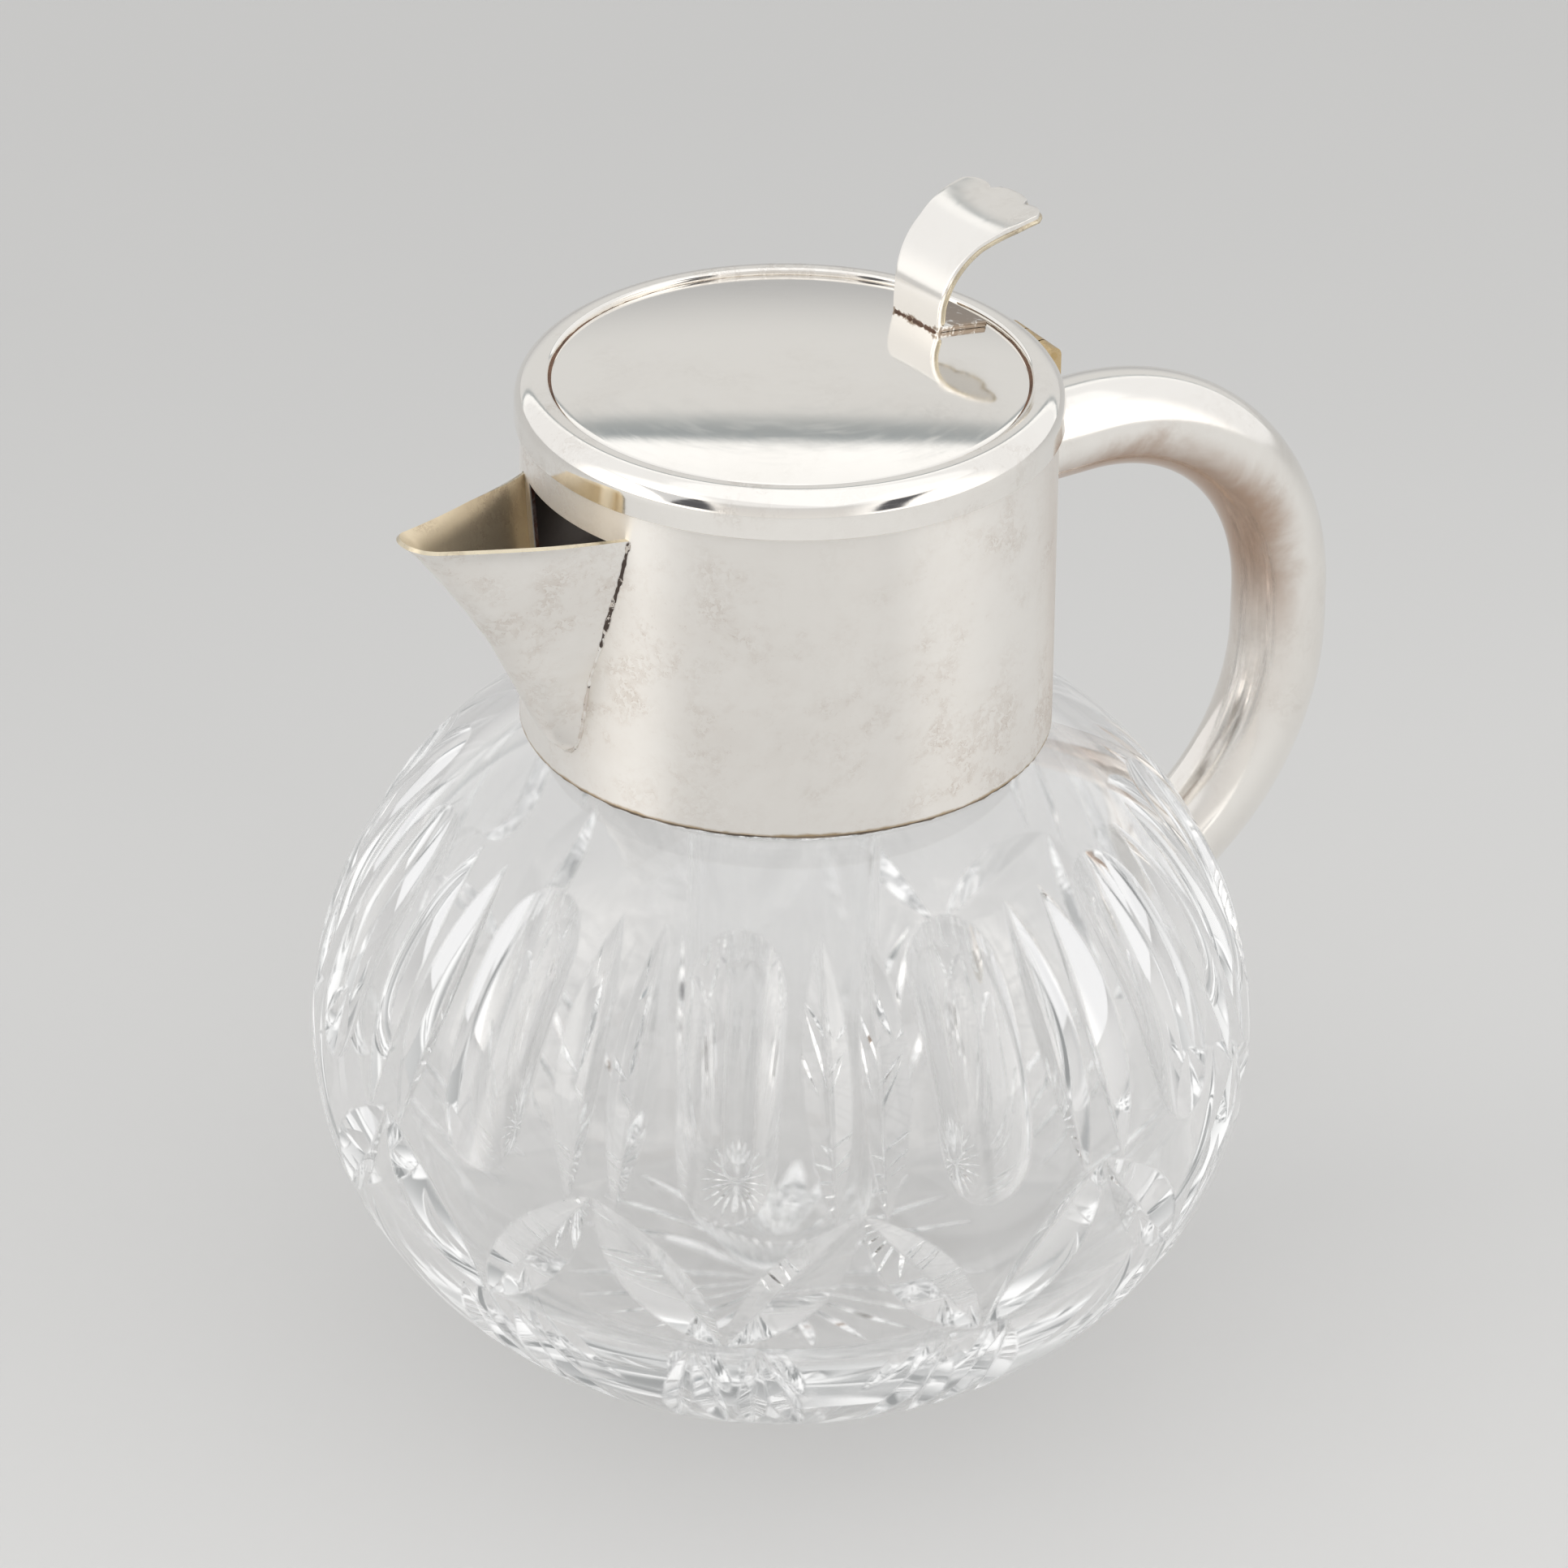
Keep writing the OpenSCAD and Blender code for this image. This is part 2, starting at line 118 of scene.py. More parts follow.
def ring_faces(low, high, size):
    """Quads between two rings of size points that start at low and high."""
    return [(low + i, low + (i + 1) % size, high + (i + 1) % size, high + i) for i in range(size)]


def grid_faces(rows, width):
    """Quads of a grid that has width points along each row."""
    return [
        (k * width + i, k * width + i + 1, (k + 1) * width + i + 1, (k + 1) * width + i)
        for k in range(rows)
        for i in range(width - 1)
    ]


def lathe(name, outline, turns, close=False):
    """Turns an [(radius, z)] outline round Z. A radius of 0 makes a pole. close joins its two ends."""
    verts, rings = [], []
    for radius, z in outline:
        if radius < 1e-9:
            rings.append([len(verts)])
            verts.append((0.0, 0.0, z))
        else:
            rings.append(list(range(len(verts), len(verts) + turns)))
            for i in range(turns):
                a = 2 * math.pi * i / turns
                verts.append((radius * math.cos(a), radius * math.sin(a), z))
    faces = []
    pairs = list(zip(rings, rings[1:])) + ([(rings[-1], rings[0])] if close else [])
    for low, high in pairs:
        if len(low) == 1 and len(high) == 1:
            continue
        for i in range(turns):
            j = (i + 1) % turns
            if len(low) == 1:
                faces.append((low[0], high[j], high[i]))
            elif len(high) == 1:
                faces.append((low[i], low[j], high[0]))
            else:
                faces.append((low[i], low[j], high[j], high[i]))
    return mesh_object(name, verts, faces)


def arc(cx, cz, radius, start, end, steps):
    """Points of an arc in the (radius, z) plane, angles in degrees."""
    out = []
    for i in range(steps + 1):
        a = math.radians(start + (end - start) * i / steps)
        out.append((cx + radius * math.cos(a), cz + radius * math.sin(a)))
    return out


def outward(obj):
    bm = bmesh.new()
    bm.from_mesh(obj.data)
    bmesh.ops.recalc_face_normals(bm, faces=bm.faces)
    bm.to_mesh(obj.data)
    bm.free()
    return obj


def bake_modifiers(obj):
    depsgraph = bpy.context.evaluated_depsgraph_get()
    mesh = bpy.data.meshes.new_from_object(obj.evaluated_get(depsgraph))
    old = obj.data
    obj.modifiers.clear()
    obj.data = mesh
    bpy.data.meshes.remove(old)
    return obj


def carve(obj, cutter):
    """Cuts obj with cutter and removes the cutter."""
    cut = obj.modifiers.new("carve", "BOOLEAN")
    cut.operation = "DIFFERENCE"
    cut.solver = "MANIFOLD"
    cut.object = cutter
    bpy.context.view_layer.update()
    bake_modifiers(obj)
    if len(obj.data.polygons) < 4:
        raise RuntimeError(f"carving {obj.name} with {cutter.name} left nothing of it")
    mesh = cutter.data
    bpy.data.objects.remove(cutter)
    bpy.data.meshes.remove(mesh)
    return obj


def sheet(obj, thickness, edge_width=0.0):
    """Thickens a surface to sheet metal, with rounded edges where edge_width is given."""
    shell = obj.modifiers.new("sheet", "SOLIDIFY")
    shell.thickness = thickness
    shell.offset = -1.0
    if edge_width:
        edge = obj.modifiers.new("edge", "BEVEL")
        edge.width = edge_width
        edge.segments = 3
        edge.limit_method = "ANGLE"
        edge.angle_limit = math.radians(50)
    return shell


def crease_by_angle(obj, degrees):
    bm = bmesh.new()
    bm.from_mesh(obj.data)
    limit = math.radians(degrees)
    for edge in bm.edges:
        edge.smooth = len(edge.link_faces) == 2 and edge.calc_face_angle(0.0) < limit
    for face in bm.faces:
        face.smooth = True
    bm.to_mesh(obj.data)
    bm.free()
    return obj


def finish_piece(obj, body, material, slot, *nodes, more=()):
    """Gives a piece its material, body and slot, and hides the nodes it stands for.

    more holds the finishes of the faces that are marked 1, 2 and so on."""
    marks = [face.material_index if more else 0 for face in obj.data.polygons]
    obj.data.materials.clear()
    for each in (material, *more):
        obj.data.materials.append(each)
    obj.data.polygons.foreach_set("material_index", marks)
    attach(obj, body)
    if nodes:
        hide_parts(*nodes)
    return obj


def dress_node(name, material):
    """Gives a carried-over CAD node a better material."""
    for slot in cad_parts[name].material_slots:
        slot.material = material


# ---------------------------------------------------------------- shader helpers


class Nodes:
    """Short hand for adding and linking shader nodes in one tree."""

    def __init__(self, tree):
        self.tree = tree

    def add(self, kind, **values):
        node = self.tree.nodes.new(kind)
        for key, value in values.items():
            setattr(node, key, value)
        return node

    def link(self, a, b):
        self.tree.links.new(a, b)

    def noise(self, vector, scale, detail=4.0, rough=0.5, distort=0.0):
        node = self.add("ShaderNodeTexNoise")
        node.inputs["Scale"].default_value = scale
        node.inputs["Detail"].default_value = detail
        node.inputs["Roughness"].default_value = rough
        node.inputs["Distortion"].default_value = distort
        self.link(vector, node.inputs["Vector"])
        return node.outputs["Fac"]

    def stretch(self, vector, scale):
        node = self.add("ShaderNodeMapping")
        node.inputs["Scale"].default_value = scale
        self.link(vector, node.inputs["Vector"])
        return node.outputs["Vector"]

    def ramp(self, value, low, high, to_low=0.0, to_high=1.0):
        node = self.add("ShaderNodeMapRange", interpolation_type="SMOOTHSTEP")
        node.inputs["From Min"].default_value = low
        node.inputs["From Max"].default_value = high
        node.inputs["To Min"].default_value = to_low
        node.inputs["To Max"].default_value = to_high
        self.link(value, node.inputs["Value"])
        return node.outputs["Result"]

    def math(self, operation, a, b=None, clamp=False):
        node = self.add("ShaderNodeMath", operation=operation, use_clamp=clamp)
        for socket, value in zip(node.inputs, (a, b)):
            if value is None:
                continue
            if isinstance(value, (int, float)):
                socket.default_value = value
            else:
                self.link(value, socket)
        return node.outputs["Value"]

    def mix(self, factor, a, b):
        node = self.add("ShaderNodeMix", data_type="RGBA")
        for socket, value in ((node.inputs[0], factor), (node.inputs[6], a), (node.inputs[7], b)):
            if isinstance(value, (int, float)):
                socket.default_value = value
            elif isinstance(value, (tuple, list)):
                socket.default_value = tuple(value)[:3] + (1.0,)
            else:
                self.link(value, socket)
        return node.outputs[2]

    def split(self, vector):
        node = self.add("ShaderNodeSeparateXYZ")
        self.link(vector, node.inputs[0])
        return node.outputs

    def group(self, group, **values):
        node = self.add("ShaderNodeGroup")
        node.node_tree = group
        for key, value in values.items():
            socket = node.inputs[key.replace("_", " ")]
            if isinstance(value, (int, float, tuple, list)):
                socket.default_value = value
            else:
                self.link(value, socket)
        return node


def new_group(name, inputs, outputs):
    group = bpy.data.node_groups.new(name, "ShaderNodeTree")
    for label, kind, default in inputs:
        socket = group.interface.new_socket(name=label, in_out="INPUT", socket_type=kind)
        if default is not None:
            socket.default_value = default
    for label, kind in outputs:
        group.interface.new_socket(name=label, in_out="OUTPUT", socket_type=kind)
    nodes = Nodes(group)
    return group, nodes, nodes.add("NodeGroupInput"), nodes.add("NodeGroupOutput")


FLOAT = "NodeSocketFloat"
VECTOR = "NodeSocketVector"


def tarnish_group():
    """Blotches and fine speckles of tarnish. Mask is 0 on clean plate, 1 on the darkest blotch."""
    if "tarnish" in bpy.data.node_groups:
        return bpy.data.node_groups["tarnish"]
    group, n, get, put = new_group(
        "tarnish",
        [("Place", VECTOR, None), ("Amount", FLOAT, 0.5), ("Speckle", FLOAT, 0.5)],
        [("Mask", FLOAT), ("Cloud", FLOAT)],
    )
    place = get.outputs["Place"]
    cloud = n.ramp(n.noise(place, 24.0, 6.0, 0.68, 0.2), 0.44, 0.66)
    curd = n.noise(place, 820.0, 5.0, 0.6, 0.6)
    patch = n.ramp(n.noise(place, 90.0, 5.0, 0.7, 0.3), 0.45, 0.60)
    ridge = n.math("ABSOLUTE", n.math("SUBTRACT", curd, 0.5))
    lines = n.ramp(ridge, 0.006, 0.028, 1.0, 0.0)
    fill = n.ramp(curd, 0.50, 0.56, 0.0, 0.45)
    curdled = n.math("MULTIPLY", n.math("MAXIMUM", lines, fill), patch)
    speck = n.math("MULTIPLY", n.ramp(n.noise(place, 1300.0, 3.0, 0.6), 0.64, 0.74), 0.6)
    both = n.math("MULTIPLY", n.math("MAXIMUM", curdled, speck), get.outputs["Speckle"])
    local = n.math("MULTIPLY", both, n.ramp(cloud, 0.0, 1.0, 0.15, 1.0))
    soft = n.math("MULTIPLY", cloud, 0.2)
    total = n.math("MULTIPLY", n.math("ADD", local, soft), get.outputs["Amount"], clamp=True)
    n.link(total, put.inputs["Mask"])
    n.link(cloud, put.inputs["Cloud"])
    return group


def polish_group():
    """Height of fine polishing lines and scratches."""
    if "polish lines" in bpy.data.node_groups:
        return bpy.data.node_groups["polish lines"]
    group, n, get, put = new_group(
        "polish lines",
        [("Place", VECTOR, None), ("Ripple", FLOAT, 0.5)],
        [("Height", FLOAT), ("Scuff", FLOAT)],
    )
    place = get.outputs["Place"]
    lines = n.noise(n.stretch(place, (90.0, 90.0, 2600.0)), 1.0, 2.0, 0.6)
    cross = n.noise(n.stretch(place, (900.0, 250.0, 300.0)), 1.0, 2.0, 0.6, 0.5)
    wave = n.noise(place, 17.0, 2.0, 0.4)
    fine = n.math("ADD", n.math("MULTIPLY", lines, 0.5), n.math("MULTIPLY", cross, 0.4))
    height = n.math("ADD", n.math("MULTIPLY", fine, 0.02), n.math("MULTIPLY", wave, get.outputs["Ripple"]))
    n.link(height, put.inputs["Height"])
    n.link(n.ramp(lines, 0.45, 0.75), put.inputs["Scuff"])
    return group


def glass_group():
    """Slow waves of blown glass, and a mask of faint smears and water marks."""
    if "glass skin" in bpy.data.node_groups:
        return bpy.data.node_groups["glass skin"]
    group, n, get, put = new_group(
        "glass skin",
        [("Place", VECTOR, None), ("Wave", FLOAT, 0.3)],
        [("Height", FLOAT), ("Smear", FLOAT)],
    )
    place = get.outputs["Place"]
    wave = n.noise(place, 34.0, 2.0, 0.4)
    smear = n.ramp(n.noise(n.stretch(place, (60.0, 60.0, 25.0)), 1.0, 4.0, 0.6, 0.5), 0.52, 0.8)
    n.link(n.math("MULTIPLY", wave, get.outputs["Wave"]), put.inputs["Height"])
    n.link(smear, put.inputs["Smear"])
    return group


def new_material(name):
    material = bpy.data.materials.new(name)
    material.use_nodes = True
    tree = material.node_tree
    tree.nodes.clear()
    n = Nodes(tree)
    out = n.add("ShaderNodeOutputMaterial")
    shader = n.add("ShaderNodeBsdfPrincipled")
    n.link(shader.outputs["BSDF"], out.inputs["Surface"])
    place = n.add("ShaderNodeTexCoord").outputs["Object"]
    return material, n, shader, place


def bump(n, shader, height, strength, distance):
    node = n.add("ShaderNodeBump")
    node.inputs["Strength"].default_value = strength
    node.inputs["Distance"].default_value = distance
    n.link(height, node.inputs["Height"])
    n.link(node.outputs["Normal"], shader.inputs["Normal"])
    return node


def crystal_material(name, wave, ior):
    material, n, shader, place = new_material(name)
    shader.inputs["Base Color"].default_value = (1.0, 1.0, 1.0, 1.0)
    shader.inputs["IOR"].default_value = ior
    shader.inputs["Transmission Weight"].default_value = 1.0
    shader.inputs["Metallic"].default_value = 0.0
    skin = n.group(glass_group(), Place=place, Wave=wave)
    n.link(n.math("MULTIPLY", skin.outputs["Smear"], 0.02), shader.inputs["Roughness"])
    arris = n.add("ShaderNodeBevel", samples=4)
    arris.inputs["Radius"].default_value = 1.0 * MM
    wave_bump = bump(n, shader, skin.outputs["Height"], 0.25, 0.0004)
    n.link(arris.outputs["Normal"], wave_bump.inputs["Normal"])
    out = shader.outputs["BSDF"].links[0].to_node
    clear = n.add("ShaderNodeBsdfTransparent")
    clear.inputs["Color"].default_value = (0.96, 0.96, 0.96, 1.0)
    ray = n.add("ShaderNodeLightPath")
    painted_glow = n.add("ShaderNodeEmission")
    facing = n.add("ShaderNodeLayerWeight").outputs["Facing"]
    # Painted glow colour: grey where the glass is seen edge-on, near white where it faces the ray
    painted_glow_tone = n.mix(n.ramp(facing, 0.15, 0.75), (0.30, 0.31, 0.31), (1.05, 1.05, 1.04))
    n.link(painted_glow_tone, painted_glow.inputs["Color"])
    # A ray that has bounced about inside the cuts ends in painted light: the glass glows itself, dim at
    # grazing angles and bright where it faces the ray, in place of the studio's light
    spent = n.add("ShaderNodeMixShader")
    mirrored = n.math("GREATER_THAN", ray.outputs["Glossy Depth"], 3.5)
    deep = n.math("GREATER_THAN", ray.outputs["Ray Depth"], 10.5)
    n.link(n.math("MAXIMUM", mirrored, deep), spent.inputs["Fac"])
    n.link(shader.outputs["BSDF"], spent.inputs[1])
    n.link(painted_glow.outputs["Emission"], spent.inputs[2])
    # Shadows and bounced light pass straight through the glass
    both = n.add("ShaderNodeMixShader")
    through = n.math("MAXIMUM", ray.outputs["Is Shadow Ray"], ray.outputs["Is Diffuse Ray"])
    n.link(through, both.inputs["Fac"])
    n.link(spent.outputs["Shader"], both.inputs[1])
    n.link(clear.outputs["BSDF"], both.inputs[2])
    n.link(both.outputs["Shader"], out.inputs["Surface"])
    return material


def worn_edge(n, place, colour, level):
    """Plate worn through to the base metal along the edge at a height."""
    z = n.split(place)["Z"]
    ragged = n.math("MULTIPLY", n.noise(place, 220.0, 3.0, 0.6), 1.1 * MM)
    gap = n.math("ADD", n.math("MULTIPLY", n.math("SUBTRACT", z, level), 1.0), ragged)
    return n.mix(n.ramp(gap, 0.5 * MM, 1.2 * MM, 1.0, 0.0), colour, (0.50, 0.38, 0.24))


def foot_soil(n, place, colour, level, height):
    """Dirt that has gathered just above a height."""
    grime = n.noise(place, 380.0, 5.0, 0.65, 0.6)
    near = n.ramp(n.split(place)["Z"], level, level + height, 1.0, 0.0)
    mask = n.ramp(n.math("ADD", n.math("MULTIPLY", near, 0.55), grime), 0.86, 1.0)
    return n.mix(mask, colour, (0.36, 0.29, 0.23))


def bow_stain(n, place, colour):
    """The brown stain on the inner side of the handle's bow, which no cloth reaches."""
    axes = n.split(place)
    dx, dz = (n.math("SUBTRACT", axes[axis], middle * MM) for axis, middle in (("X", 66), ("Z", 126)))
    reach = n.math("SQRT", n.math("ADD", n.math("POWER", dx, 2.0), n.math("POWER", dz, 2.0)))
    drift = n.math("SUBTRACT", n.noise(place, 60.0, 5.0, 0.65, 0.5), 0.5)
    ragged = n.math("ADD", reach, n.math("MULTIPLY", drift, 12 * MM))
    inside = n.ramp(ragged, 41 * MM, 50.5 * MM, 1.0, 0.0)
    inner = n.math("MULTIPLY", inside, n.ramp(axes["Z"], 112 * MM, 140 * MM, 0.15, 1.0))
    return n.mix(n.math("MULTIPLY", inner, 0.9), colour, (0.46, 0.31, 0.22))


def collar_inside_shade_and_residue(n, place, colour):
    """The darker inside of the collar, with tea-coloured residue round the window."""
    axes = n.split(place)
    facing = n.ramp(axes["X"], -47.8 * MM, -40 * MM, 1.0, 0.0)
    square = n.math("ADD", n.math("POWER", axes["X"], 2.0), n.math("POWER", axes["Y"], 2.0))
    inner = n.ramp(square, 0.00249, 0.00252, 1.0, 0.0)
    residue = n.ramp(n.noise(place, 260.0, 5.0, 0.7, 1.0), 0.30, 0.55)
    # Painted shade: the collar's inside surface is coloured darker
    colour = n.mix(inner, colour, (0.36, 0.32, 0.30))
    return n.mix(n.math("MULTIPLY", n.math("MULTIPLY", facing, inner), residue), colour, (0.16, 0.06, 0.03))


def silver_material(name, tint, stain, amount, speckle, rough, ripple, brushed=0.0, marks=()):
    """Silver plate with tarnish and polish lines. marks are (function, values) of further stains."""
    material, n, shader, place = new_material(name)
    shader.inputs["Metallic"].default_value = 1.0
    shader.inputs["IOR"].default_value = 1.5
    shader.inputs["Anisotropic"].default_value = brushed
    shader.inputs["Anisotropic Rotation"].default_value = 0.25
    tarnish = n.group(tarnish_group(), Place=place, Amount=amount, Speckle=speckle)
    polish = n.group(polish_group(), Place=place, Ripple=ripple)
    colour = n.mix(tarnish.outputs["Mask"], tint, stain)
    for mark, *values in marks:
        colour = mark(n, place, colour, *values)
    n.link(colour, shader.inputs["Base Color"])
    lift = n.math("MULTIPLY", tarnish.outputs["Mask"], 0.30)
    base = n.math("ADD", n.math("MULTIPLY", polish.outputs["Scuff"], 0.05), rough)
    n.link(n.math("ADD", lift, base), shader.inputs["Roughness"])
    bump(n, shader, polish.outputs["Height"], 0.35, 0.6 * MM)
    return material


def brass_material(name, tint, rough):
    material, n, shader, place = new_material(name)
    shader.inputs["Metallic"].default_value = 1.0
    tarnish = n.group(tarnish_group(), Place=place, Amount=0.9, Speckle=0.7)
    polish = n.group(polish_group(), Place=place, Ripple=0.2)
    n.link(n.mix(tarnish.outputs["Mask"], tint, (0.18, 0.12, 0.07)), shader.inputs["Base Color"])
    n.link(n.math("ADD", n.math("MULTIPLY", tarnish.outputs["Mask"], 0.3), rough), shader.inputs["Roughness"])
    bump(n, shader, polish.outputs["Height"], 0.3, 0.0004)
    return material


def cement_material(name, tint, dark):
    material, n, shader, place = new_material(name)
    grain = n.noise(place, 700.0, 4.0, 0.7)
    stain = n.ramp(n.noise(place, 90.0, 4.0, 0.6), 0.35, 0.7)
    n.link(n.mix(stain, tint, dark), shader.inputs["Base Color"])
    n.link(n.ramp(grain, 0.3, 0.7, 0.6, 0.95), shader.inputs["Roughness"])
    bump(n, shader, grain, 0.6, 0.0003)
    return material


def seam_material(name, tint, residue, low, high):
    """A soldered seam: plate with dark residue broken into patches, thickening from low to high."""
    material, n, shader, place = new_material(name)
    patch = n.noise(place, 420.0, 4.0, 0.7, 0.6)
    dark = n.ramp(n.math("ADD", patch, n.ramp(n.split(place)["Z"], low, high, -0.12, 0.09)), 0.50, 0.54)
    brown = n.mix(n.ramp(n.noise(place, 300.0, 3.0, 0.6), 0.4, 0.6, 0.0, 0.4), tint, (0.40, 0.28, 0.19))
    n.link(n.mix(dark, brown, residue), shader.inputs["Base Color"])
    n.link(n.math("SUBTRACT", 1.0, dark), shader.inputs["Metallic"])
    n.link(n.ramp(dark, 0.0, 1.0, 0.3, 0.8), shader.inputs["Roughness"])
    bump(n, shader, patch, 0.5, 0.0003)
    return material


def floor_material(colour):
    material, n, shader, place = new_material("studio paper")
    mottle = n.noise(place, 6.0, 3.0, 0.5)
    grain = n.noise(place, 420.0, 4.0, 0.6)
    axes = n.split(place)
    # Painted light falloff: the floor is coloured darker from the camera's side to beyond the jug, as if less
    # lit there; the mottle adds random tone
    depth = n.math("ADD", n.math("MULTIPLY", axes["X"], 0.25), n.math("MULTIPLY", axes["Y"], 0.97))
    painted_falloff = n.math("ADD", n.ramp(depth, -0.4, 0.6), n.math("MULTIPLY", n.math("SUBTRACT", mottle, 0.5), 0.1))
    dark = tuple(c * 0.76 for c in colour)
    n.link(n.mix(painted_falloff, colour, dark), shader.inputs["Base Color"])
    shader.inputs["Roughness"].default_value = 0.9
    shader.inputs["Specular IOR Level"].default_value = 0.15
    bump(n, shader, grain, 0.05, 0.0003)
    return material


MATERIALS = {}


def plates():
    """The silver plates: tint, stain, amount, speckle, roughness, ripple, and what else each has."""
    look = bpy.context.scene.jug_finish
    silver, stain = tuple(look.silver), tuple(look.stain)
    warm = (0.56, 0.46, 0.38)
    inside, inside_stain = (0.86, 0.76, 0.58), (0.42, 0.30, 0.19)
    seat, cap = (tuple(c * share for c in silver) for share in (0.8, 0.85))
    # The collar's marks: its worn edge, and painted shade inside with residue round the window
    collar_marks = ((worn_edge, COLLAR_LOW), (collar_inside_shade_and_residue,))
    thumb_marks = ((foot_soil, DOME_TOP - 2.4 * MM, 2.6 * MM),)
    return {
        "collar plate": (silver, warm, 0.5, 1.0, 0.42, 0.06, 0.85, collar_marks),
        "spout plate": (silver, warm, 0.5, 1.0, 0.3, 0.1),
        "spout inside": (inside, inside_stain, 0.5, 0.8, 0.42, 0.1),
        "lid plate": (silver, stain, 0.45, 1.0, 0.08, 0.03),
        "dome plate": (silver, stain, 0.25, 0.4, 0.07, 0.012),
        "thumb plate": (silver, stain, 0.35, 0.7, 0.14, 0.03, 0.0, thumb_marks),
        "handle plate": (silver, stain, 0.5, 0.5, 0.13, 0.08, 0.0, ((bow_stain,),)),
        "seat plate": (seat, stain, 0.9, 0.8, 0.3, 0.3),
        "cap plate": (cap, stain, 0.9, 0.8, 0.3, 0.3),
    }


def other_finishes():
    """Every other finish: the function that makes it, and its values."""
    look = bpy.context.scene.jug_finish
    seam_low, seam_high = SPOUT_LOW + 22 * MM, SPOUT_LOW + 34 * MM
    return {
        "cut crystal": (crystal_material, 0.15, look.crystal_ior),
        "insert glass": (crystal_material, 0.5, 1.5),
        "lip metal": (brass_material, (0.76, 0.68, 0.52), 0.25),
        "hinge brass": (brass_material, (0.66, 0.50, 0.28), 0.25),
        "pin brass": (brass_material, (0.60, 0.44, 0.22), 0.3),
        "neck cement": (cement_material, (0.30, 0.24, 0.18), (0.06, 0.045, 0.035)),
        "groove stain": (cement_material, (0.26, 0.15, 0.10), (0.12, 0.07, 0.05)),
        "solder": (seam_material, tuple(look.silver), (0.07, 0.05, 0.04), seam_low, seam_high),
    }


def finish_of(name):
    """A finish of the object, built the first time it is asked for."""
    if name not in MATERIALS:
        if name in plates():
            MATERIALS[name] = silver_material(name, *plates()[name])
        else:
            maker, *values = other_finishes()[name]
            MATERIALS[name] = maker(name, *values)
    return MATERIALS[name]


# ---------------------------------------------------------------- globe


def globe_radius(z, grow=0.0):
    drop = (UPPER_RISE if z > BELLY_Z else LOWER_DROP) + grow
    return (GLOBE_R + grow) * math.sqrt(max(0.0, 1 - ((z - BELLY_Z) / drop) ** 2))


def globe_point(turn, lift):
    """A point on the globe and its outward direction, for a turn round the axis and an ellipse angle."""
    drop = UPPER_RISE if lift > 0 else LOWER_DROP
    radius, z = GLOBE_R * math.cos(lift), BELLY_Z + drop * math.sin(lift)
    slope = Vector((math.cos(lift) / GLOBE_R, math.sin(lift) / drop)).normalized()
    out = Vector((math.cos(turn), math.sin(turn), 0.0))
    return out * radius + Vector((0, 0, z)), out * slope.x + Vector((0, 0, slope.y))


def lift_at(z):
    drop = UPPER_RISE if z > BELLY_Z else LOWER_DROP
    return math.asin(max(-1.0, min(1.0, (z - BELLY_Z) / drop)))


def ellipse_rise(radius, rise, end_r, steps):
    """Points of the ellipse above the belly, up to the radius end_r."""
    top = math.acos(end_r / radius)
    return [
        (radius * math.cos(top * i / steps), BELLY_Z + rise * math.sin(top * i / steps))
        for i in range(1, steps + 1)
    ]


def globe_outline(neck_r, steps=90):
    heights = [BELLY_Z * (1 - math.cos(math.pi / 2 * i / steps)) for i in range(steps + 1)]
    return [(globe_radius(z), z) for z in heights] + ellipse_rise(GLOBE_R, UPPER_RISE, neck_r, steps)


def cavity_outline(wall, neck_bore, steps=60):
    radius, drop = GLOBE_R - wall, BELLY_Z - FLOOR_T
    out = [(0.0, FLOOR_T)]
    for i in range(1, steps + 1):
        t = math.cos(math.pi / 2 * i / steps)
        out.append((radius * (1 - t ** CAVITY_POWER) ** (1 / CAVITY_POWER), BELLY_Z - drop * t))
    return out + ellipse_rise(radius, UPPER_RISE - wall, neck_bore, steps)


class Wheel:
    """Collects wheel cuts that don't touch, as one cutter mesh. Face marks tell the cut faces apart."""

    def __init__(self, mark):
        self.verts, self.faces, self.marks, self.mark = [], [], [], mark

    def sweep(self, frames, profile):
        """frames are (origin, across, out) along the cut; profile gives [(across, out, mark)] of each."""
        base = len(self.verts)
        for k, (origin, across, out) in enumerate(frames):
            self.verts += [origin + across * a + out * o for a, o, _ in profile(k)]
        marks = [mark for _, _, mark in profile(0)]
        size = len(marks)
        for k in range(len(frames) - 1):
            self.faces += ring_faces(base + k * size, base + (k + 1) * size, size)
            self.marks += [self.mark + mark for mark in marks]
        last = base + (len(frames) - 1) * size
        self.faces.append(tuple(base + i for i in reversed(range(size))))
        self.faces.append(tuple(last + i for i in range(size)))
        self.marks += [self.mark, self.mark]

    def cutter(self, materials):
        obj = mesh_object("wheel", self.verts, self.faces)
        for material in materials:
            obj.data.materials.append(material)
        obj.data.polygons.foreach_set("material_index", self.marks)
        return outward(obj)


def surface_frames(points):
    """Frames along [(point, outward)]: origin, across and outward at each."""
    frames = []
    for k, (point, out) in enumerate(points):
        ahead = points[min(k + 1, len(points) - 1)][0] - points[max(k - 1, 0)][0]
        across = out.cross(ahead).normalized()
        frames.append((point, across, out))
    return frames


def mitre_cut(wheel, path, depth, left, right, steps=22, head=4.0 * MM):
    """A pointed cut with a V edge. left and right are the tangents of its two sides.

    path gives (point, outward) for -1 to 1."""
    over = 1.07
    stops = [-over + 2 * over * k / steps for k in range(steps + 1)]

    def profile(k):
        low = -depth * (1 - abs(stops[k]) ** 2.0)
        rise = head - low
        return [(0.0, low, 1), (rise * right, head, 0), (-rise * left, head, 2)]

    wheel.sweep(surface_frames([path(s) for s in stops]), profile)


